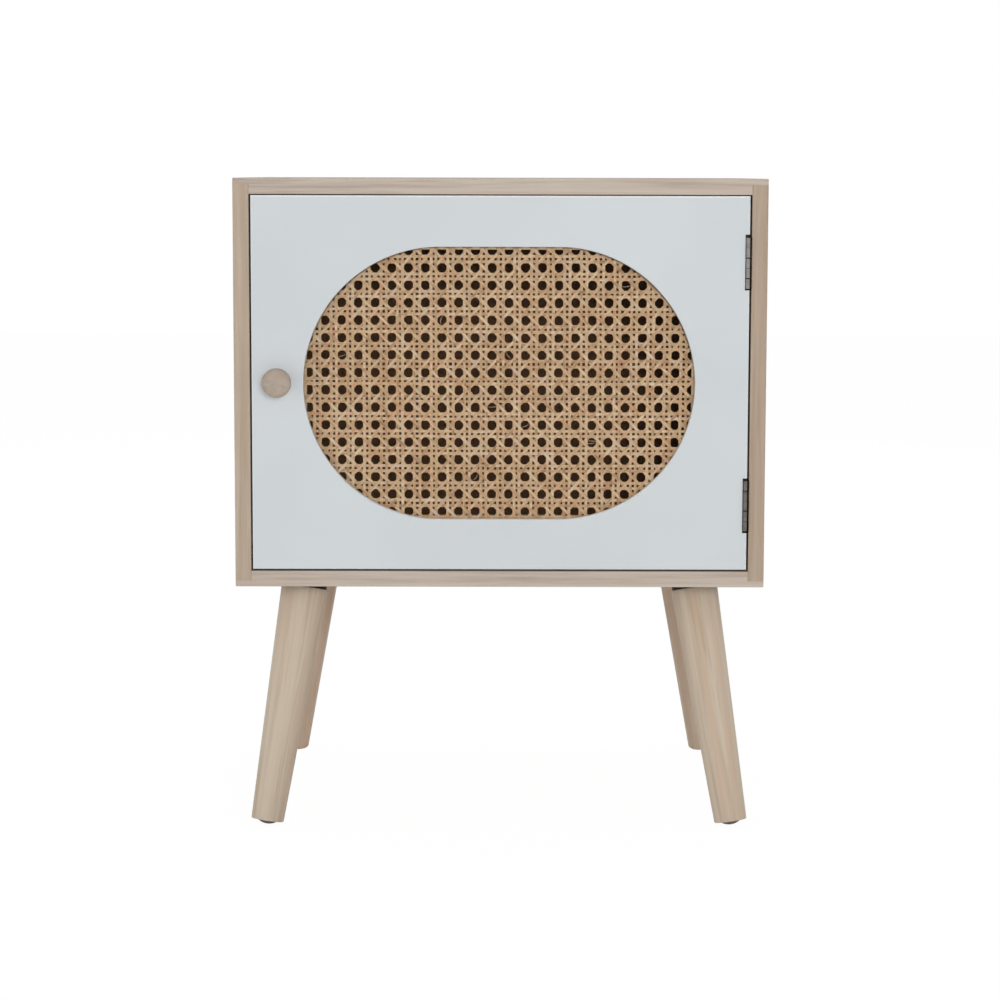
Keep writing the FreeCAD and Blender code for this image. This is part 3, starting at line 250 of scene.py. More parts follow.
def sprayed_lacquer():
    """Pale blue-grey lacquer sprayed on board and rubbed down: even, with a faint orange peel.

    A painted highlight makes it paler over the softened top edge of the door, and a little
    so over its sides. The wall of the window is painted a darker grey as its shade, and
    paler towards the sill as painted light from above. The routed notches for the hinges
    are painted near black, as the shade inside them.
    """
    material, tree = new_material("sprayed_lacquer")
    place = add_node(tree, "ShaderNodeTexCoord").outputs["Object"]
    spot = add_node(tree, "ShaderNodeSeparateXYZ", {0: place})
    low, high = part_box("door_panel")
    middle = (low + high) / 2
    distances = []
    for axis, centre in (("X", middle.x), ("Z", notch_middle)):
        away = add_node(
            tree, "ShaderNodeMath", {0: spot.outputs[axis], 1: centre}, operation="SUBTRACT"
        ).outputs[0]
        away = add_node(tree, "ShaderNodeMath", {0: away}, operation="ABSOLUTE").outputs[0]
        distances.append(away)
    from_middle, from_notches = distances
    # Painted highlight: the lacquer is paler along the door's top edge, and a little along its
    # sides.
    sides, top = (
        add_node(
            tree,
            "ShaderNodeMapRange",
            {
                "Value": distance,
                "From Min": limit - 1.6 * MM,
                "From Max": limit - 0.7 * MM,
                "To Max": share,
            },
            interpolation_type="SMOOTHSTEP",
        ).outputs[0]
        for distance, limit, share in (
            (from_middle, high.x - middle.x, 0.25),
            (spot.outputs["Z"], high.z, 1.0),
        )
    )
    edge = add_node(tree, "ShaderNodeMath", {0: sides, 1: top}, operation="MAXIMUM").outputs[0]
    # Painted shade: the window's wall is a darker grey, and paler towards the sill as painted light
    # from above.
    wall = add_node(
        tree,
        "ShaderNodeMapRange",
        {"Value": window_distance(tree, place), "From Min": 0.4 * MM, "From Max": 0.1 * MM},
        interpolation_type="SMOOTHSTEP",
    ).outputs[0]
    sill_painted_light = add_node(
        tree,
        "ShaderNodeMapRange",
        {
            "Value": spot.outputs["Z"],
            "From Min": cane_middle.z - 0.1 * window_round,
            "From Max": cane_middle.z - 0.9 * window_round,
        },
    ).outputs[0]
    wall_shade_colour = add_node(
        tree,
        "ShaderNodeMix",
        {SHARE: sill_painted_light, UNDER: linear("#ABA69E"), OVER: linear("#E0DAD0")},
        data_type="RGBA",
    ).outputs[BLEND]
    # Painted shade: the hinge notches are coloured near black, as the shade inside them.
    notches = add_node(
        tree,
        "ShaderNodeMath",
        {0: from_notches, 1: notch_spread, 2: NOTCH_HALF + NOTCH_SHADE_PAST_END},
        operation="COMPARE",
    ).outputs[0]
    for axis, limit in (("X", hinge_axis.x - NOTCH_SHADE_FROM_PIN), ("Y", low.y + NOTCH_SHADE_FROM_FACE)):
        beyond = add_node(
            tree, "ShaderNodeMath", {0: spot.outputs[axis], 1: limit}, operation="GREATER_THAN"
        ).outputs[0]
        notches = add_node(
            tree, "ShaderNodeMath", {0: notches, 1: beyond}, operation="MULTIPLY"
        ).outputs[0]
    cloud = add_node(
        tree, "ShaderNodeTexNoise", {"Vector": place, "Scale": 1 / (90 * MM), "Detail": 1.0}
    ).outputs[0]
    colour = add_node(
        tree, "ShaderNodeValToRGB", {"Fac": cloud}, stops=[(0.3, "#C9CED1"), (0.7, "#CED3D6")]
    ).outputs[0]
    for share, over in (
        (edge, linear("#E4E6E6")),
        (wall, wall_shade_colour),
        (notches, linear("#2C221C")),
    ):
        colour = add_node(
            tree, "ShaderNodeMix", {SHARE: share, UNDER: colour, OVER: over}, data_type="RGBA"
        ).outputs[BLEND]
    peel = add_node(
        tree, "ShaderNodeTexNoise", {"Vector": place, "Scale": 1 / (1.4 * MM), "Detail": 1.0}
    ).outputs[0]
    bump = add_node(
        tree, "ShaderNodeBump", {"Height": peel, "Strength": 0.12, "Distance": 0.03 * MM}
    ).outputs[0]
    finish_material(tree, {"Base Color": colour, "Roughness": 0.42}, bump)
    return material


def rattan():
    """Peeled rattan skin: satin, with long fibres, each strand of its own tone.

    The strand attribute holds the place across a strand (0 to 1), the place along it in
    metres, and the strand's own number. The fibre lines are four to a strand and 11 mm
    long, and the lighter and darker patches 9 mm. Clouds of a redder and a greyer tone are
    11 and 19 mm wide. The cut edges of a strand are paler as a painted highlight, and
    painted shade makes it a little darker where it dips behind others. A painted shadow
    darkens the sheet under the window's upper rim.
    """
    material, tree = new_material("split_rattan")
    place = add_node(tree, "ShaderNodeTexCoord").outputs["Object"]
    spot = add_node(tree, "ShaderNodeSeparateXYZ", {0: place})
    strand = add_node(tree, "ShaderNodeAttribute", attribute_name="strand").outputs["Vector"]
    split = add_node(tree, "ShaderNodeSeparateXYZ", {0: strand})
    own = add_node(
        tree, "ShaderNodeTexWhiteNoise", {"W": split.outputs["Z"]}, noise_dimensions="1D"
    )
    streaks = []
    for scale, harshness in (((4.0, 90.0, 37.0), 0.6), ((0.7, 110.0, 91.0), 0.5)):
        drawn_out = add_node(
            tree, "ShaderNodeMapping", {"Vector": strand, "Scale": scale}
        ).outputs[0]
        streak = add_node(
            tree,
            "ShaderNodeTexNoise",
            {"Vector": drawn_out, "Scale": 1.0, "Detail": 2.0, "Roughness": harshness},
        ).outputs[0]
        streaks.append(streak)
    fibres, patches = streaks
    figure = 0.0
    for pattern, share in ((fibres, 0.46), (patches, 0.5), (own.outputs["Value"], 0.14)):
        figure = add_node(
            tree, "ShaderNodeMath", {0: pattern, 1: share, 2: figure}, operation="MULTIPLY_ADD"
        ).outputs[0]
    colour = add_node(
        tree,
        "ShaderNodeValToRGB",
        {"Fac": figure},
        stops=[(0.38, "#8A684A"), (0.54, "#B7966F"), (0.74, "#D3BA9A")],
    ).outputs[0]
    shifted = add_node(
        tree, "ShaderNodeVectorMath", {0: place, 1: own.outputs["Color"]}, operation="ADD"
    ).outputs[0]
    tones = []
    for size, low, high, most, tone in (
        (11 * MM, 0.52, 0.72, 0.65, "#B57F5A"),
        (19 * MM, 0.54, 0.74, 0.58, "#CDBFAA"),
    ):
        cloud = add_node(
            tree, "ShaderNodeTexNoise", {"Vector": shifted, "Scale": 1 / size, "Detail": 1.0}
        ).outputs[0]
        share = add_node(
            tree,
            "ShaderNodeMapRange",
            {"Value": cloud, "From Min": low, "From Max": high, "To Max": most},
        ).outputs[0]
        tones.append((share, tone))
    across = add_node(
        tree, "ShaderNodeMath", {0: split.outputs["X"], 1: 0.5}, operation="SUBTRACT"
    ).outputs[0]
    across = add_node(tree, "ShaderNodeMath", {0: across}, operation="ABSOLUTE").outputs[0]
    # Painted highlight: the cut edges of a strand are paler.
    cut_edge_highlight = add_node(
        tree,
        "ShaderNodeMapRange",
        {"Value": across, "From Min": 0.36, "From Max": 0.48, "To Max": 0.3},
    ).outputs[0]
    cut_edge_highlight = add_node(
        tree, "ShaderNodeMath", {0: cut_edge_highlight, 1: patches}, operation="MULTIPLY"
    ).outputs[0]
    # Painted shade: a strand is a little darker where it dips behind others.
    dip_shade = add_node(
        tree,
        "ShaderNodeMapRange",
        {
            "Value": spot.outputs["Y"],
            "From Min": cane_middle.y,
            "From Max": cane_middle.y + 0.5 * MM,
            "To Max": 0.2,
        },
    ).outputs[0]
    outside = window_distance(tree, place)
    near_rim, in_sight = (
        add_node(
            tree,
            "ShaderNodeMapRange",
            {"Value": outside, "From Min": start, "From Max": end, "To Max": most},
            interpolation_type="SMOOTHSTEP",
        ).outputs[0]
        for start, end, most in ((-1.5 * MM, -0.3 * MM, 0.6), (1.6 * MM, 0.5 * MM, 1.0))
    )
    high_up = add_node(
        tree,
        "ShaderNodeMapRange",
        {
            "Value": spot.outputs["Z"],
            "From Min": cane_middle.z - 0.1 * window_round,
            "From Max": cane_middle.z + 0.7 * window_round,
        },
    ).outputs[0]
    # Painted shadow: the sheet is darker just inside the window's upper rim, where the rim shades
    # it.
    rim_shadow = near_rim
    for limit in (in_sight, high_up):
        rim_shadow = add_node(
            tree, "ShaderNodeMath", {0: rim_shadow, 1: limit}, operation="MULTIPLY"
        ).outputs[0]
    tones += [(cut_edge_highlight, "#E2CDB0"), (dip_shade, "#6E4426"), (rim_shadow, "#3A2B20")]
    for share, tone in tones:
        colour = add_node(
            tree,
            "ShaderNodeMix",
            {SHARE: share, UNDER: colour, OVER: linear(tone)},
            data_type="RGBA",
        ).outputs[BLEND]
    bump = add_node(
        tree, "ShaderNodeBump", {"Height": fibres, "Strength": 0.3, "Distance": 0.06 * MM}
    ).outputs[0]
    finish_material(tree, {"Base Color": colour, "Roughness": 0.42}, bump)
    return material


# ---------------------------------------------------------------- steel and the rest

# Painted shade on a hinge: where the inside of its bend starts from the axis of the pin,
# how soon the shade is at its darkest there, how far back it reaches, and half its width on
# the joint between two knuckles.
BEND_FROM_AXIS = 1.25 * MM
SHADE_FADE = 0.3 * MM
SHADE_REACH = 3.5 * MM
SEAM_SHADE_HALF = 0.45 * MM

# From one knuckle of a hinge to the next: a hair short, which the painted shade's width covers.
KNUCKLE_STEP = 7.6 * MM


def hinge_seams(which, *steps):
    """Heights of a hinge's joints, painted dark as the shade in them, given in knuckles from its
    middle.
    """
    low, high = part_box(f"{which}_hinge_case_leaf")
    return [(low.z + high.z) / 2 + step * KNUCKLE_STEP for step in steps]


def fitting_steel(name, colour, shade, roughness, seams=()):
    """Stamped or drawn steel, mostly plated in a barrel: dull, slightly mottled, finely scuffed.

    The scuffs are drawn half a millimetre wide, because real ones are too fine to see.
    seams are the heights of a hinge's joints, which are painted dark as the shade in them.
    Painted shade also darkens the inside of its bend.
    """
    material, tree = new_material(name)
    place = add_node(tree, "ShaderNodeTexCoord").outputs["Object"]
    mottle = add_node(
        tree, "ShaderNodeTexNoise", {"Vector": place, "Scale": 1 / (2.5 * MM), "Detail": 3.0}
    ).outputs[0]
    tint = add_node(
        tree, "ShaderNodeValToRGB", {"Fac": mottle}, stops=[(0.35, shade), (0.65, colour)]
    ).outputs[0]
    # Painted shade inside the hinge's bend and on the joints between its knuckles.
    if seams:
        spot = add_node(tree, "ShaderNodeSeparateXYZ", {0: place})
        bend = hinge_axis.x + BEND_FROM_AXIS
        inside = add_node(
            tree,
            "ShaderNodeMapRange",
            {"Value": spot.outputs["X"], "From Min": bend, "From Max": bend + SHADE_FADE},
        ).outputs[0]
        front = add_node(
            tree,
            "ShaderNodeMath",
            {0: spot.outputs["Y"], 1: hinge_axis.y + SHADE_REACH},
            operation="LESS_THAN",
        ).outputs[0]
        inside = add_node(
            tree, "ShaderNodeMath", {0: inside, 1: front}, operation="MULTIPLY"
        ).outputs[0]
        painted_shade = [(inside, "#2A211C")]
        for seam in seams:
            joint = add_node(
                tree,
                "ShaderNodeMath",
                {0: spot.outputs["Z"], 1: seam, 2: SEAM_SHADE_HALF},
                operation="COMPARE",
            ).outputs[0]
            painted_shade.append((joint, "#3A3532"))
        for share, tone in painted_shade:
            tint = add_node(
                tree,
                "ShaderNodeMix",
                {SHARE: share, UNDER: tint, OVER: linear(tone)},
                data_type="RGBA",
            ).outputs[BLEND]
    rough = add_node(
        tree,
        "ShaderNodeMapRange",
        {"Value": mottle, "To Min": roughness - 0.08, "To Max": roughness + 0.1},
    ).outputs[0]
    scuffs = add_node(
        tree, "ShaderNodeTexNoise", {"Vector": place, "Scale": 1 / (0.5 * MM), "Detail": 1.0}
    ).outputs[0]
    bump = add_node(
        tree, "ShaderNodeBump", {"Height": scuffs, "Strength": 0.15, "Distance": 0.02 * MM}
    ).outputs[0]
    finish_material(tree, {"Base Color": tint, "Metallic": 1.0, "Roughness": rough}, bump)
    return material


def grained(name, colour, shade, grain, roughness, depth):
    """A surface with a fine even grain, whose size and depth are in millimetres."""
    material, tree = new_material(name)
    place = add_node(tree, "ShaderNodeTexCoord").outputs["Object"]
    speck = add_node(
        tree, "ShaderNodeTexNoise", {"Vector": place, "Scale": 1 / (grain * MM), "Detail": 2.0}
    ).outputs[0]
    tint = add_node(
        tree, "ShaderNodeValToRGB", {"Fac": speck}, stops=[(0.35, shade), (0.65, colour)]
    ).outputs[0]
    bump = add_node(
        tree, "ShaderNodeBump", {"Height": speck, "Strength": 0.25, "Distance": depth * MM}
    ).outputs[0]
    finish_material(tree, {"Base Color": tint, "Roughness": roughness}, bump)
    return material


# ---------------------------------------------------------------- the table's materials

# The flat boards: planed and hardly lacquered, so pale, greyish and quiet in figure.
flat_pine = plain_wood(
    "planed_pine_crosswise",
    "x",
    "#C6BBAE",
    "#BCAFA2",
    "#A8998C",
    "#BDA99B",
    fibre=0.26,
    start=7.1,
)
# The sides of the case: a shade browner.
upright_pine = plain_wood(
    "planed_pine_upright", "z", "#BBAA98", "#AF9D8A", "#A08D79", "#AF9A89", fibre=0.26
)
# The legs: turned and sanded, so they are smoother, with a soft sheen and little figure.
leg_pine = plain_wood(
    "turned_pine_leg",
    "z",
    "#CFC0AE",
    "#C8B8A5",
    "#B7A48F",
    "#C6AF9A",
    grown_in="grain",
    fibre=0.16,
    rough=0.52,
    gloss=0.25,
)
# The rear legs: the same wood, painted a shade warmer as the warm light that the wood around throws
# onto them.
rear_leg_pine_warm_bounce = plain_wood(
    "turned_pine_rear_leg_warm_bounce",
    "z",
    "#D1C0AC",
    "#CAB7A3",
    "#B9A28B",
    "#C8AE97",
    grown_in="grain",
    fibre=0.16,
    rough=0.52,
    gloss=0.25,
)
# The knob: its grain runs front to back, so its face shows the grey of end grain.
knob_pine = plain_wood(
    "turned_pine_knob", "y", "#B5A99D", "#AB9E90", "#9D8F81", "#AA998A", fibre=0.2
)
# The dowels: beech is warmer and more even than the boards around it.
dowel_beech = plain_wood("milled_beech_dowel", "x", "#CDAF86", "#C2A278", "#B08E62", "#C69F78")
lacquer = sprayed_lacquer()
cane = rattan()
# The inner fibre of the cane, torn loose: paler than its skin, and without its satin.
fibre_pale = grained("frayed_rattan_fibre", "#DCCDB4", "#C9B698", 0.8, 0.5, 0.01)
# The battens: left as the saw cut them, so pale brown, fuzzy and dull.
batten_wood = grained("sawn_poplar_batten", "#C9B18E", "#BBA27E", 2.0, 0.6, 0.05)
# The back: brown board with a fine felted fleck.
hardboard = grained("pressed_hardboard", "#967353", "#856548", 1.2, 0.7, 0.04)
# The upper hinge and the screws: nickel that has gone a warm grey.
hinge_steel = fitting_steel(
    "nickelled_steel", "#A09C97", "#8C8883", 0.44, hinge_seams("upper", 0.5, -1.5)
)
# The lower hinge: the same nickel, painted darker as shade, since less light reaches it.
lower_hinge_shaded_steel = fitting_steel(
    "nickelled_steel_painted_shade", "#7E7975", "#6C6763", 0.48, hinge_seams("lower", 1.5, -0.5)
)
# The hinge pins: smooth, and painted nearly black as the shade in the gaps between the knuckles.
pin_shade_steel = fitting_steel("drawn_steel_painted_shade", "#3B3734", "#2C2927", 0.4)
# Other small hardware: the bright cool grey of zinc.
zinc_steel = fitting_steel("zinc_plated_steel", "#B9BABB", "#A6A7A9", 0.38)
# The leg plates: black that gives back hardly any light.
plate_black = grained("black_stoved_paint", "#1A1716", "#12100F", 0.8, 0.9, 0.02)
# The glides: a fine moulded grain keeps their grey-brown dull.
glide_plastic = grained("moulded_dark_plastic", "#6E635F", "#635955", 0.6, 0.85, 0.02)
# The housing of the catch: off-white with a slight sheen.
catch_plastic = grained("moulded_white_plastic", "#DAD8D2", "#D2D0CA", 0.7, 0.4, 0.01)
# The magnet: dense and charcoal grey.
ferrite = grained("sintered_ferrite", "#2A2A2C", "#202022", 0.5, 0.6, 0.02)

coat(["top_panel", "bottom_panel"], flat_pine)
coat(["left_side_panel", "right_side_panel"], upright_pine)
coat(["back_panel"], hardboard)
coat(["corner_dowels"], dowel_beech)
coat(["door_panel"], lacquer)
coat(["upper_batten", "lower_batten", "left_batten", "right_batten"], batten_wood)
for which, steel in (("upper", hinge_steel), ("lower", lower_hinge_shaded_steel)):
    coat([f"{which}_hinge_case_leaf", f"{which}_hinge_door_leaf"], steel)
    coat([f"{which}_hinge_pin"], pin_shade_steel)
coat(["hinge_case_screws", "hinge_door_screws"], hinge_steel)
coat(
    [
        "back_panel_nails",
        "batten_pins",
        "knob_screw",
        "catch_screws",
        "inner_pole_plate",
        "outer_pole_plate",
        "strike_plate",
        "strike_screw",
        "leg_plate_screws",
    ],
    zinc_steel,
)
coat(["catch_housing"], catch_plastic)
coat(["catch_magnet"], ferrite)
for corner in CORNERS:
    coat([f"{corner}_leg_plate"], plate_black)
    coat([f"{corner}_hanger_bolt"], zinc_steel)
    coat([f"{corner}_glide"], glide_plastic)


# ---------------------------------------------------------------- modelling helpers


def clear_selection():
    """Deselects everything, because an operator acts on all that is selected."""
    bpy.ops.object.select_all(action="DESELECT")


def join_pieces(made):
    """Joins pieces into one and gives it back."""
    clear_selection()
    for piece in made:
        piece.select_set(True)
    bpy.context.view_layer.objects.active = made[0]
    bpy.ops.object.join()
    return bpy.context.object


def name_piece(piece, name, material, body, replaced):
    """Names a finished piece, gives it its material and puts it on its body."""
    piece.name = name
    piece.data.name = name
    piece.data.materials.clear()
    piece.data.materials.append(material)
    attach(piece, body)
    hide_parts(replaced)


# ---------------------------------------------------------------- woven cane

# One opening of the weave to the next, a strand's width, the middle of a pair to each of
# its strands, and a strand's thickness.
PITCH_X = 12.55 * MM
PITCH_Z = 13.17 * MM
STRAND = 2.13 * MM
HALF_PAIR = 1.97 * MM
SKIN = 0.34 * MM

# The middle of the weave lies a little off the middle of its sheet.
weave_x = cane_middle.x + 0.9 * MM
weave_z = cane_middle.z + 1.3 * MM
weave_y = cane_middle.y

# How far the strands reach from the middle of the weave, in pitches. They end a little
# inside the sheet's edge.
MARGIN = 1.3 * MM
weave_reach = {
    "x": ((cane_low.x + MARGIN - weave_x) / PITCH_X, (cane_high.x - MARGIN - weave_x) / PITCH_X),
    "z": ((cane_low.z + MARGIN - weave_z) / PITCH_Z, (cane_high.z - MARGIN - weave_z) / PITCH_Z),
}

# How far the strands of a pair and the slanted ones rise and dip as they cross others, and
# how much a strand is crowned, in millimetres.
PAIR_HEIGHT = 0.22
SLANT_HEIGHT = 0.42
CROWN = 0.07

# How much a strand strays, and over what length: its path alone, its path together with
# its neighbours and its height, in millimetres, and its width, as a share.
OWN_WANDER, OWN_WANDER_LENGTH = 0.34, 11 * MM
SHARED_WANDER, SHARED_WANDER_LENGTH = 0.3, 45 * MM
HEIGHT_CHANGE, HEIGHT_CHANGE_LENGTH = 0.05, 9 * MM
WIDTH_CHANGE, WIDTH_CHANGE_LENGTH = 0.1, 7 * MM

# A whole strand lies up to this many millimetres off its line, and its width is between
# these shares of the common one.
OFF_CENTRE = 0.2
NARROWEST, BROADEST = 0.91, 1.07

# A strand's steps and its least length, how many pitches inside the weave's reach a pair's
# strand has to lie, and the last slanted strand's number, which is past the sheet's corner.
STRAND_STEP = 1.45 * MM
FEWEST_STEPS = 4
SHORTEST_STRAND = 8 * MM
END_ROOM = 0.08
LAST_SLANT = 24


def crossing_wave(place, half_pair):
    """Over one strand of a crossing pair and under the other, flat between the pairs."""
    away = place - round(place)
    return math.sin(math.pi * away / (2 * half_pair)) if abs(away) < 2 * half_pair else 0.0


def upright_strand(pair, side):
    """One of the two uprights of a pair: its path, and where it starts and ends."""

    def at(u):
        height = side * PAIR_HEIGHT * crossing_wave(u, HALF_PAIR / PITCH_Z)
        return pair + side * HALF_PAIR / PITCH_X, u, height

    return at, *weave_reach["z"]


def level_strand(pair, side):
    """One of the two levels of a pair: it goes under an upright where that goes over."""

    def at(u):
        height = -side * PAIR_HEIGHT * crossing_wave(u, HALF_PAIR / PITCH_X)
        return u, pair + side * HALF_PAIR / PITCH_Z, height

    return at, *weave_reach["x"]


def slanted_strand(number, fall):
    """Over the uprights and under the levels where it falls, the other way where it rises."""
    (x0, x1), (z0, z1) = weave_reach["x"], weave_reach["z"]

    def at(u):
        z = number + 0.5 - u if fall else u - number - 0.5
        return u, z, (SLANT_HEIGHT if fall else -SLANT_HEIGHT) * math.cos(2 * math.pi * u)

    if fall:
        return at, max(x0, number + 0.5 - z1), min(x1, number + 0.5 - z0)
    return at, max(x0, z0 + number + 0.5), min(x1, z1 + number + 0.5)


def weave_strand(at, start, end, seed):
    """One strand: a narrow grid laid along its path, with its own slight wander."""
    ends = [Vector((at(u)[0] * PITCH_X, 0, at(u)[1] * PITCH_Z)) for u in (start, end)]
    run = ends[1] - ends[0]
    length = run.length
    if length < SHORTEST_STRAND:
        return None
    steps = max(FEWEST_STEPS, round(length / STRAND_STEP))
    bpy.ops.mesh.primitive_grid_add(x_subdivisions=3, y_subdivisions=steps, size=1)
    strand = bpy.context.object
    direction = run.normalized()
    sideways = Vector((direction.z, 0, -direction.x))
    random.seed(seed)
    offset = random.uniform(-OFF_CENTRE, OFF_CENTRE) * MM
    broad = random.uniform(NARROWEST, BROADEST)
    stored = strand.data.attributes.new("strand", "FLOAT_VECTOR", "POINT")
    for vertex, value in zip(strand.data.vertices, stored.data):
        across = vertex.co.x
        part = vertex.co.y + 0.5
        x, z, height = at(start + (end - start) * part)
        centre = Vector((x * PITCH_X, 0, z * PITCH_Z))
        far = part * length
        # Each noise is read at a place of its own, so that no two are alike.
        own = noise.noise(Vector((far / OWN_WANDER_LENGTH, seed * 7.31, 0.5)))
        nearby = (centre.x / SHARED_WANDER_LENGTH, centre.z / SHARED_WANDER_LENGTH, 3.7)
        shared = noise.noise(Vector(nearby))
        wander = OWN_WANDER * own + SHARED_WANDER * shared
        swelling = noise.noise(Vector((far / WIDTH_CHANGE_LENGTH, seed * 3.1, 9.2)))
        width = STRAND * broad * (1 + WIDTH_CHANGE * swelling)
        crown = CROWN * (1 - (2 * across) ** 2)
        waver = noise.noise(Vector((far / HEIGHT_CHANGE_LENGTH, seed, 1.0)))
        lift = (height + crown + HEIGHT_CHANGE * waver) * MM
        spot = centre + sideways * (across * width + wander * MM + offset)
        value.vector = (across + 0.5, far, seed)
        vertex.co = Vector((weave_x + spot.x, weave_y - lift, weave_z + spot.z))
    return strand


def weave_family(name, strands, first_seed):
    """Lays a family of strands, joins them and gives them their thickness."""
    made = []
    for i, (at, start, end) in enumerate(strands):
        if end > start:
            piece = weave_strand(at, start, end, first_seed + i)
            if piece:
                made.append(piece)
    family = join_pieces(made)
    bpy.ops.object.mode_set(mode="EDIT")
    bpy.ops.mesh.select_all(action="SELECT")
    bpy.ops.mesh.normals_make_consistent(inside=False)
    bpy.ops.object.mode_set(mode="OBJECT")
    # The faces look to the front, and the thickness goes back from them.
    if family.data.polygons[0].normal.y > 0:
        family.data.flip_normals()
    thick = family.modifiers.new("thickness", "SOLIDIFY")
    thick.thickness = SKIN
    thick.offset = -1
    bpy.ops.object.modifier_apply(modifier="thickness")
    bpy.ops.object.shade_smooth_by_angle(angle=math.radians(50))
    name_piece(family, name, cane, "door", "cane_panel")


def pairs_inside(low, high, half_pair):
    """The strands that lie well inside the reach, as a pair's number and a side of it."""
    return [
        (k, side)
        for k in range(math.floor(low), math.ceil(high) + 1)
        for side in (-1, 1)
        if low + END_ROOM < k + side * half_pair < high - END_ROOM
    ]


uprights = [upright_strand(*one) for one in pairs_inside(*weave_reach["x"], HALF_PAIR / PITCH_X)]
levels = [level_strand(*one) for one in pairs_inside(*weave_reach["z"], HALF_PAIR / PITCH_Z)]
falling, rising = (
    [slanted_strand(number, fall) for number in range(-LAST_SLANT, LAST_SLANT + 1)]
    for fall in (True, False)
)
weave_family("cane_uprights", uprights, 100)
weave_family("cane_levels", levels, 300)
weave_family("cane_falling_strands", falling, 500)
weave_family("cane_rising_strands", rising, 700)

# Fine fibres that have lifted from the strands and cross an opening: each one's place in
# pitches from the middle of the weave, its slant in degrees, and its length and how far it
# bows in millimetres.
LIFTED_FIBRES = (
    (-3.5, 3.5, 12, 6.4, -1.1),
    (7.5, 5.5, 82, 8.0, 0.9),
    (5.55, -3.44, 95, 9.8, -0.5),
    (5.42, -3.52, 87, 7.6, 0.4),
    (-0.46, -1.42, 86, 7.8, 0.6),
    (0.5, 1.5, -38, 6.4, -0.7),
    (1.5, -2.5, 63, 6.0, 0.8),
    (-1.5, -5.5, 40, 5.6, 0.8),
    (-9.5, 1.5, 74, 6.0, 0.6),
)
FIBRE_RADIUS = 0.16 * MM
FIBRE_LIFT = 0.62 * MM
FIBRE_TAPER = 0.7


def lifted_fibres():
    """Hairs of rattan a third of a millimetre thick, thinner at both ends."""
    made = []
    for across, up, slant, length, bow in LIFTED_FIBRES:
        clear_selection()
        bpy.ops.mesh.primitive_cylinder_add(
            vertices=6, radius=FIBRE_RADIUS, depth=length * MM, end_fill_type="TRIFAN"
        )
        fibre = bpy.context.object
        bpy.ops.object.mode_set(mode="EDIT")
        for share in (0, -0.4, -0.25, 0.25, 0.4):
            bpy.ops.mesh.select_all(action="SELECT")
            bpy.ops.mesh.bisect(plane_co=(0, 0, share * length * MM), plane_no=(0, 0, 1))
        bpy.ops.object.mode_set(mode="OBJECT")
        turn = Matrix.Rotation(math.radians(slant), 4, "Y")
        middle = Vector((weave_x + across * PITCH_X, weave_y - FIBRE_LIFT, weave_z + up * PITCH_Z))
        for vertex in fibre.data.vertices:
            x, y, z = vertex.co
            part = 2 * z / (length * MM)
            thin = 1 - FIBRE_TAPER * part * part
            bent = Vector((x * thin + bow * MM * (1 - part * part), y * thin, z))
            vertex.co = turn @ bent + middle
        made.append(fibre)
    fibres = join_pieces(made)
    bpy.ops.object.shade_smooth_by_angle(angle=math.radians(60))
    name_piece(fibres, "cane_lifted_fibres", fibre_pale, "door", "cane_panel")


lifted_fibres()


# ---------------------------------------------------------------- legs

# A leg stands on a domed glide, and its top stays PLATE_ROOM clear of the case, for its
# plate. SPLAY is how far it leans out sideways and to the front or back. LEG_BASE is where
# its axis meets the underside of the case, from the case's middle, which is at CASE_Y.
LEG_HEIGHT = 187.5 * MM
SPLAY = Vector((29 * MM, 35 * MM))
LEG_BASE = Vector((150 * MM, 100 * MM))
CASE_Y = 10.5 * MM
TOP_RADIUS = 18 * MM
FOOT_RADIUS = 12.5 * MM
RIM_ROUND = 0.9 * MM
PLATE_ROOM = 3.4 * MM
GLIDE_HALF = 8 * MM
GLIDE_HEIGHT = 2.8 * MM
TILT = math.atan(SPLAY.length / LEG_HEIGHT)
DOME_RADIUS = (GLIDE_HALF**2 + GLIDE_HEIGHT**2) / (2 * GLIDE_HEIGHT)

# Both ends of a leg, down its axis from the underside of the case.
LEG_SEAT = (PLATE_ROOM + TOP_RADIUS * math.sin(TILT)) / math.cos(TILT)
LEG_FOOT = (LEG_HEIGHT - DOME_RADIUS) / math.cos(TILT) + DOME_RADIUS - GLIDE_HEIGHT

# Each leg is turned from its own place in the plank.
GRAIN_STARTS = {
    "front_left": (-0.52, -0.17, 0),
    "front_right": (-0.31, 0.47, 0),
    "rear_left": (-0.31, 0.17, 0),
    "rear_right": (0.31, 0.17, 0),
}


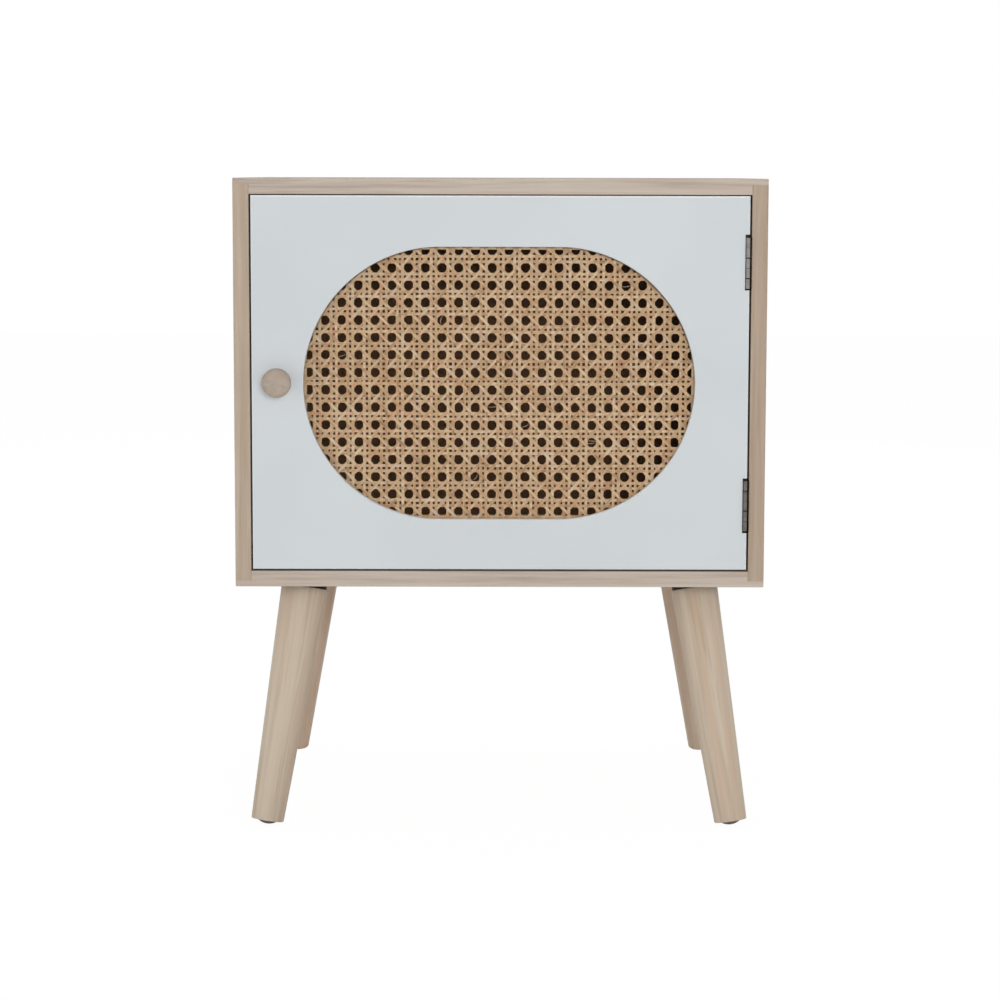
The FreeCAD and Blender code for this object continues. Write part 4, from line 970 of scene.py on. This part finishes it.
def turned_leg(corner, sign_x, sign_y):
    """A tapered round leg with softened rims, leaning out towards its corner."""
    clear_selection()
    bpy.ops.mesh.primitive_cone_add(
        vertices=128,
        radius1=FOOT_RADIUS,
        radius2=TOP_RADIUS,
        depth=LEG_FOOT - LEG_SEAT,
        location=(0, 0, -(LEG_FOOT + LEG_SEAT) / 2),
    )
    leg = bpy.context.object
    bpy.ops.object.transform_apply(location=True, rotation=False, scale=False)
    bpy.ops.object.mode_set(mode="EDIT")
    bpy.ops.mesh.select_all(action="DESELECT")
    bpy.ops.object.mode_set(mode="OBJECT")
    for edge in leg.data.edges:
        a, b = (leg.data.vertices[v].co for v in edge.vertices)
        edge.select = abs(a.z - b.z) < 1e-5
    bpy.ops.object.mode_set(mode="EDIT")
    bpy.ops.mesh.select_mode(type="EDGE")
    bpy.ops.mesh.bevel(offset=RIM_ROUND, segments=3, profile=0.5)
    bpy.ops.object.mode_set(mode="OBJECT")
    bpy.ops.object.shade_smooth_by_angle(angle=math.radians(40))
    # The upright leg's place in the plank, for its grain to follow once it leans.
    grain = leg.data.attributes.new("grain", "FLOAT_VECTOR", "POINT")
    for vertex, stored in zip(leg.data.vertices, grain.data):
        stored.vector = vertex.co + Vector(GRAIN_STARTS[corner])
    lean = Matrix.Rotation(TILT, 4, Vector((sign_y * SPLAY.y, -sign_x * SPLAY.x, 0)))
    base = Vector((sign_x * LEG_BASE.x, CASE_Y + sign_y * LEG_BASE.y, LEG_HEIGHT))
    leg.data.transform(Matrix.Translation(base) @ lean)
    # The rear legs take the copy painted warmer as bounced light.
    wood = leg_pine if sign_y < 0 else rear_leg_pine_warm_bounce
    name_piece(leg, f"turned_{corner}_leg", wood, "case", f"{corner}_leg")


for corner, (sign_x, sign_y) in CORNERS.items():
    turned_leg(corner, sign_x, sign_y)


# ---------------------------------------------------------------- knob

# Half the knob's outline: radius, and distance out from the face of the door, in millimetres.
KNOB_OUTLINE = (
    (0.0, 0.0),
    (7.6, 0.0),
    (8.0, 0.4),
    (7.3, 2.0),
    (6.6, 4.2),
    (6.4, 6.2),
    (6.9, 8.4),
    (8.2, 10.4),
    (10.1, 11.9),
    (10.8, 12.8),
    (11.0, 14.2),
    (11.0, 16.2),
    (10.75, 17.4),
    (10.1, 18.5),
    (9.0, 19.5),
    (7.4, 20.3),
    (5.0, 20.8),
    (2.5, 20.96),
    (0.0, 21.0),
)


def turned_knob():
    """A small mushroom knob: its outline, extruded from one point, is spun about its axis."""
    low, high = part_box("door_knob")
    foot = ((low.x + high.x) / 2, high.y, (low.z + high.z) / 2)
    clear_selection()
    bpy.ops.mesh.primitive_plane_add(size=MM, location=foot)
    knob = bpy.context.object
    bpy.ops.object.transform_apply(location=True, rotation=False, scale=False)
    bpy.ops.object.mode_set(mode="EDIT")
    bpy.ops.mesh.select_mode(type="VERT")
    bpy.ops.mesh.select_all(action="SELECT")
    bpy.ops.mesh.merge(type="CENTER")
    for (radius, out), (next_radius, next_out) in zip(KNOB_OUTLINE, KNOB_OUTLINE[1:]):
        step = ((next_radius - radius) * MM, (out - next_out) * MM, 0)
        bpy.ops.mesh.extrude_region_move(TRANSFORM_OT_translate={"value": step})
    bpy.ops.mesh.select_all(action="SELECT")
    bpy.ops.mesh.spin(steps=64, angle=2 * math.pi, center=foot, axis=(0, 1, 0))
    bpy.ops.mesh.select_all(action="SELECT")
    bpy.ops.mesh.remove_doubles(threshold=1e-6)
    bpy.ops.mesh.normals_make_consistent(inside=False)
    bpy.ops.object.mode_set(mode="OBJECT")
    bpy.ops.object.shade_smooth_by_angle(angle=math.radians(50))
    name_piece(knob, "turned_knob", knob_pine, "door", "door_knob")


turned_knob()


# ---------------------------------------------------------------- floor, light, camera

FLOOR_SIZE = 12
FLOOR_WHITE_SHARE = 0.95
FLOOR_GLOW = 1.02
WORLD_LIGHT = 0.51

# Each soft lamp's place, the spot it points at and its size, in metres, and its watts.
LAMPS = {
    "key": ((0.3, -2.4, 0.75), (0, 0, 0.25), 0.45, 16.2),
    "left_side": ((-1.9, -1.2, 0.4), (0, 0, 0.2), 1.2, 9.3),
    "right_side": ((1.9, -1.2, 0.4), (0, 0, 0.2), 1.2, 4),
    "back": ((0.7, 2.4, 1.1), (0, 0, 0.3), 1.4, 10),
    "overhead": ((0, 0.45, 2.6), (0, 0.1, 0.5), 0.6, 8),
}

CAMERA_PLACE = (-4.1 * MM, -2076.2 * MM, 499 * MM)
CAMERA_DOWN, CAMERA_ROLL, CAMERA_PAN = 0.10654, -0.0023, -0.0019


def seen_directly(tree):
    """1 for the camera and for what gloss or glass shows, 0 where only light is gathered."""
    path = add_node(tree, "ShaderNodeLightPath")
    seen = path.outputs["Is Camera Ray"]
    for ray in ("Is Glossy Ray", "Is Transmission Ray"):
        seen = add_node(
            tree, "ShaderNodeMath", {0: seen, 1: path.outputs[ray]}, operation="MAXIMUM"
        ).outputs[0]
    return seen


def pale_floor():
    """White floor that keeps a faint shadow of the table."""
    clear_selection()
    bpy.ops.mesh.primitive_plane_add(size=FLOOR_SIZE, location=(0, 0, 0))
    floor = bpy.context.object
    floor.name = "floor"
    material, tree = new_material("white_floor")
    share = add_node(
        tree,
        "ShaderNodeMath",
        {0: seen_directly(tree), 1: FLOOR_WHITE_SHARE},
        operation="MULTIPLY",
    ).outputs[0]
    matt = add_node(tree, "ShaderNodeBsdfDiffuse", {"Color": linear("#F4F4F4")}).outputs[0]
    glow = add_node(
        tree, "ShaderNodeEmission", {"Color": (1, 1, 1, 1), "Strength": FLOOR_GLOW}
    ).outputs[0]
    both = add_node(tree, "ShaderNodeMixShader", {0: share, 1: matt, 2: glow}).outputs[0]
    add_node(tree, "ShaderNodeOutputMaterial", {"Surface": both})
    floor.data.materials.append(material)


def pale_world():
    """A world that lights the table softly and looks white behind it."""
    world = bpy.data.worlds.new("studio")
    world.use_nodes = True
    tree = world.node_tree
    tree.nodes.clear()
    strength = add_node(
        tree,
        "ShaderNodeMapRange",
        {"Value": seen_directly(tree), "To Min": WORLD_LIGHT, "To Max": 1.0},
    ).outputs[0]
    sky = add_node(tree, "ShaderNodeBackground", {"Color": (1, 1, 1, 1), "Strength": strength})
    add_node(tree, "ShaderNodeOutputWorld", {"Surface": sky.outputs[0]})
    bpy.context.scene.world = world


def soft_light(name, place, aim, size, power):
    """A square lamp that points at a spot and leaves no hot patch on the lacquer."""
    lamp = bpy.data.lights.new(name, "AREA")
    lamp.shape = "SQUARE"
    lamp.size = size
    lamp.energy = power
    holder = bpy.data.objects.new(name, lamp)
    bpy.context.scene.collection.objects.link(holder)
    holder.location = place
    holder.rotation_euler = (Vector(aim) - Vector(place)).to_track_quat("-Z", "Y").to_euler()
    holder.visible_glossy = False


def front_camera():
    """A long lens about two metres in front of the table, looking slightly down."""
    camera = bpy.data.cameras.new("camera")
    camera.sensor_width = 36
    camera.lens = 93.075
    camera.shift_y = -0.05
    camera.clip_end = 50
    holder = bpy.data.objects.new("camera", camera)
    bpy.context.scene.collection.objects.link(holder)
    holder.location = CAMERA_PLACE
    holder.rotation_euler = (math.pi / 2 - CAMERA_DOWN, CAMERA_ROLL, CAMERA_PAN)
    bpy.context.scene.camera = holder


pale_floor()
pale_world()
for name, settings in LAMPS.items():
    soft_light(name, *settings)
front_camera()
bpy.context.scene.view_settings.view_transform = "Standard"
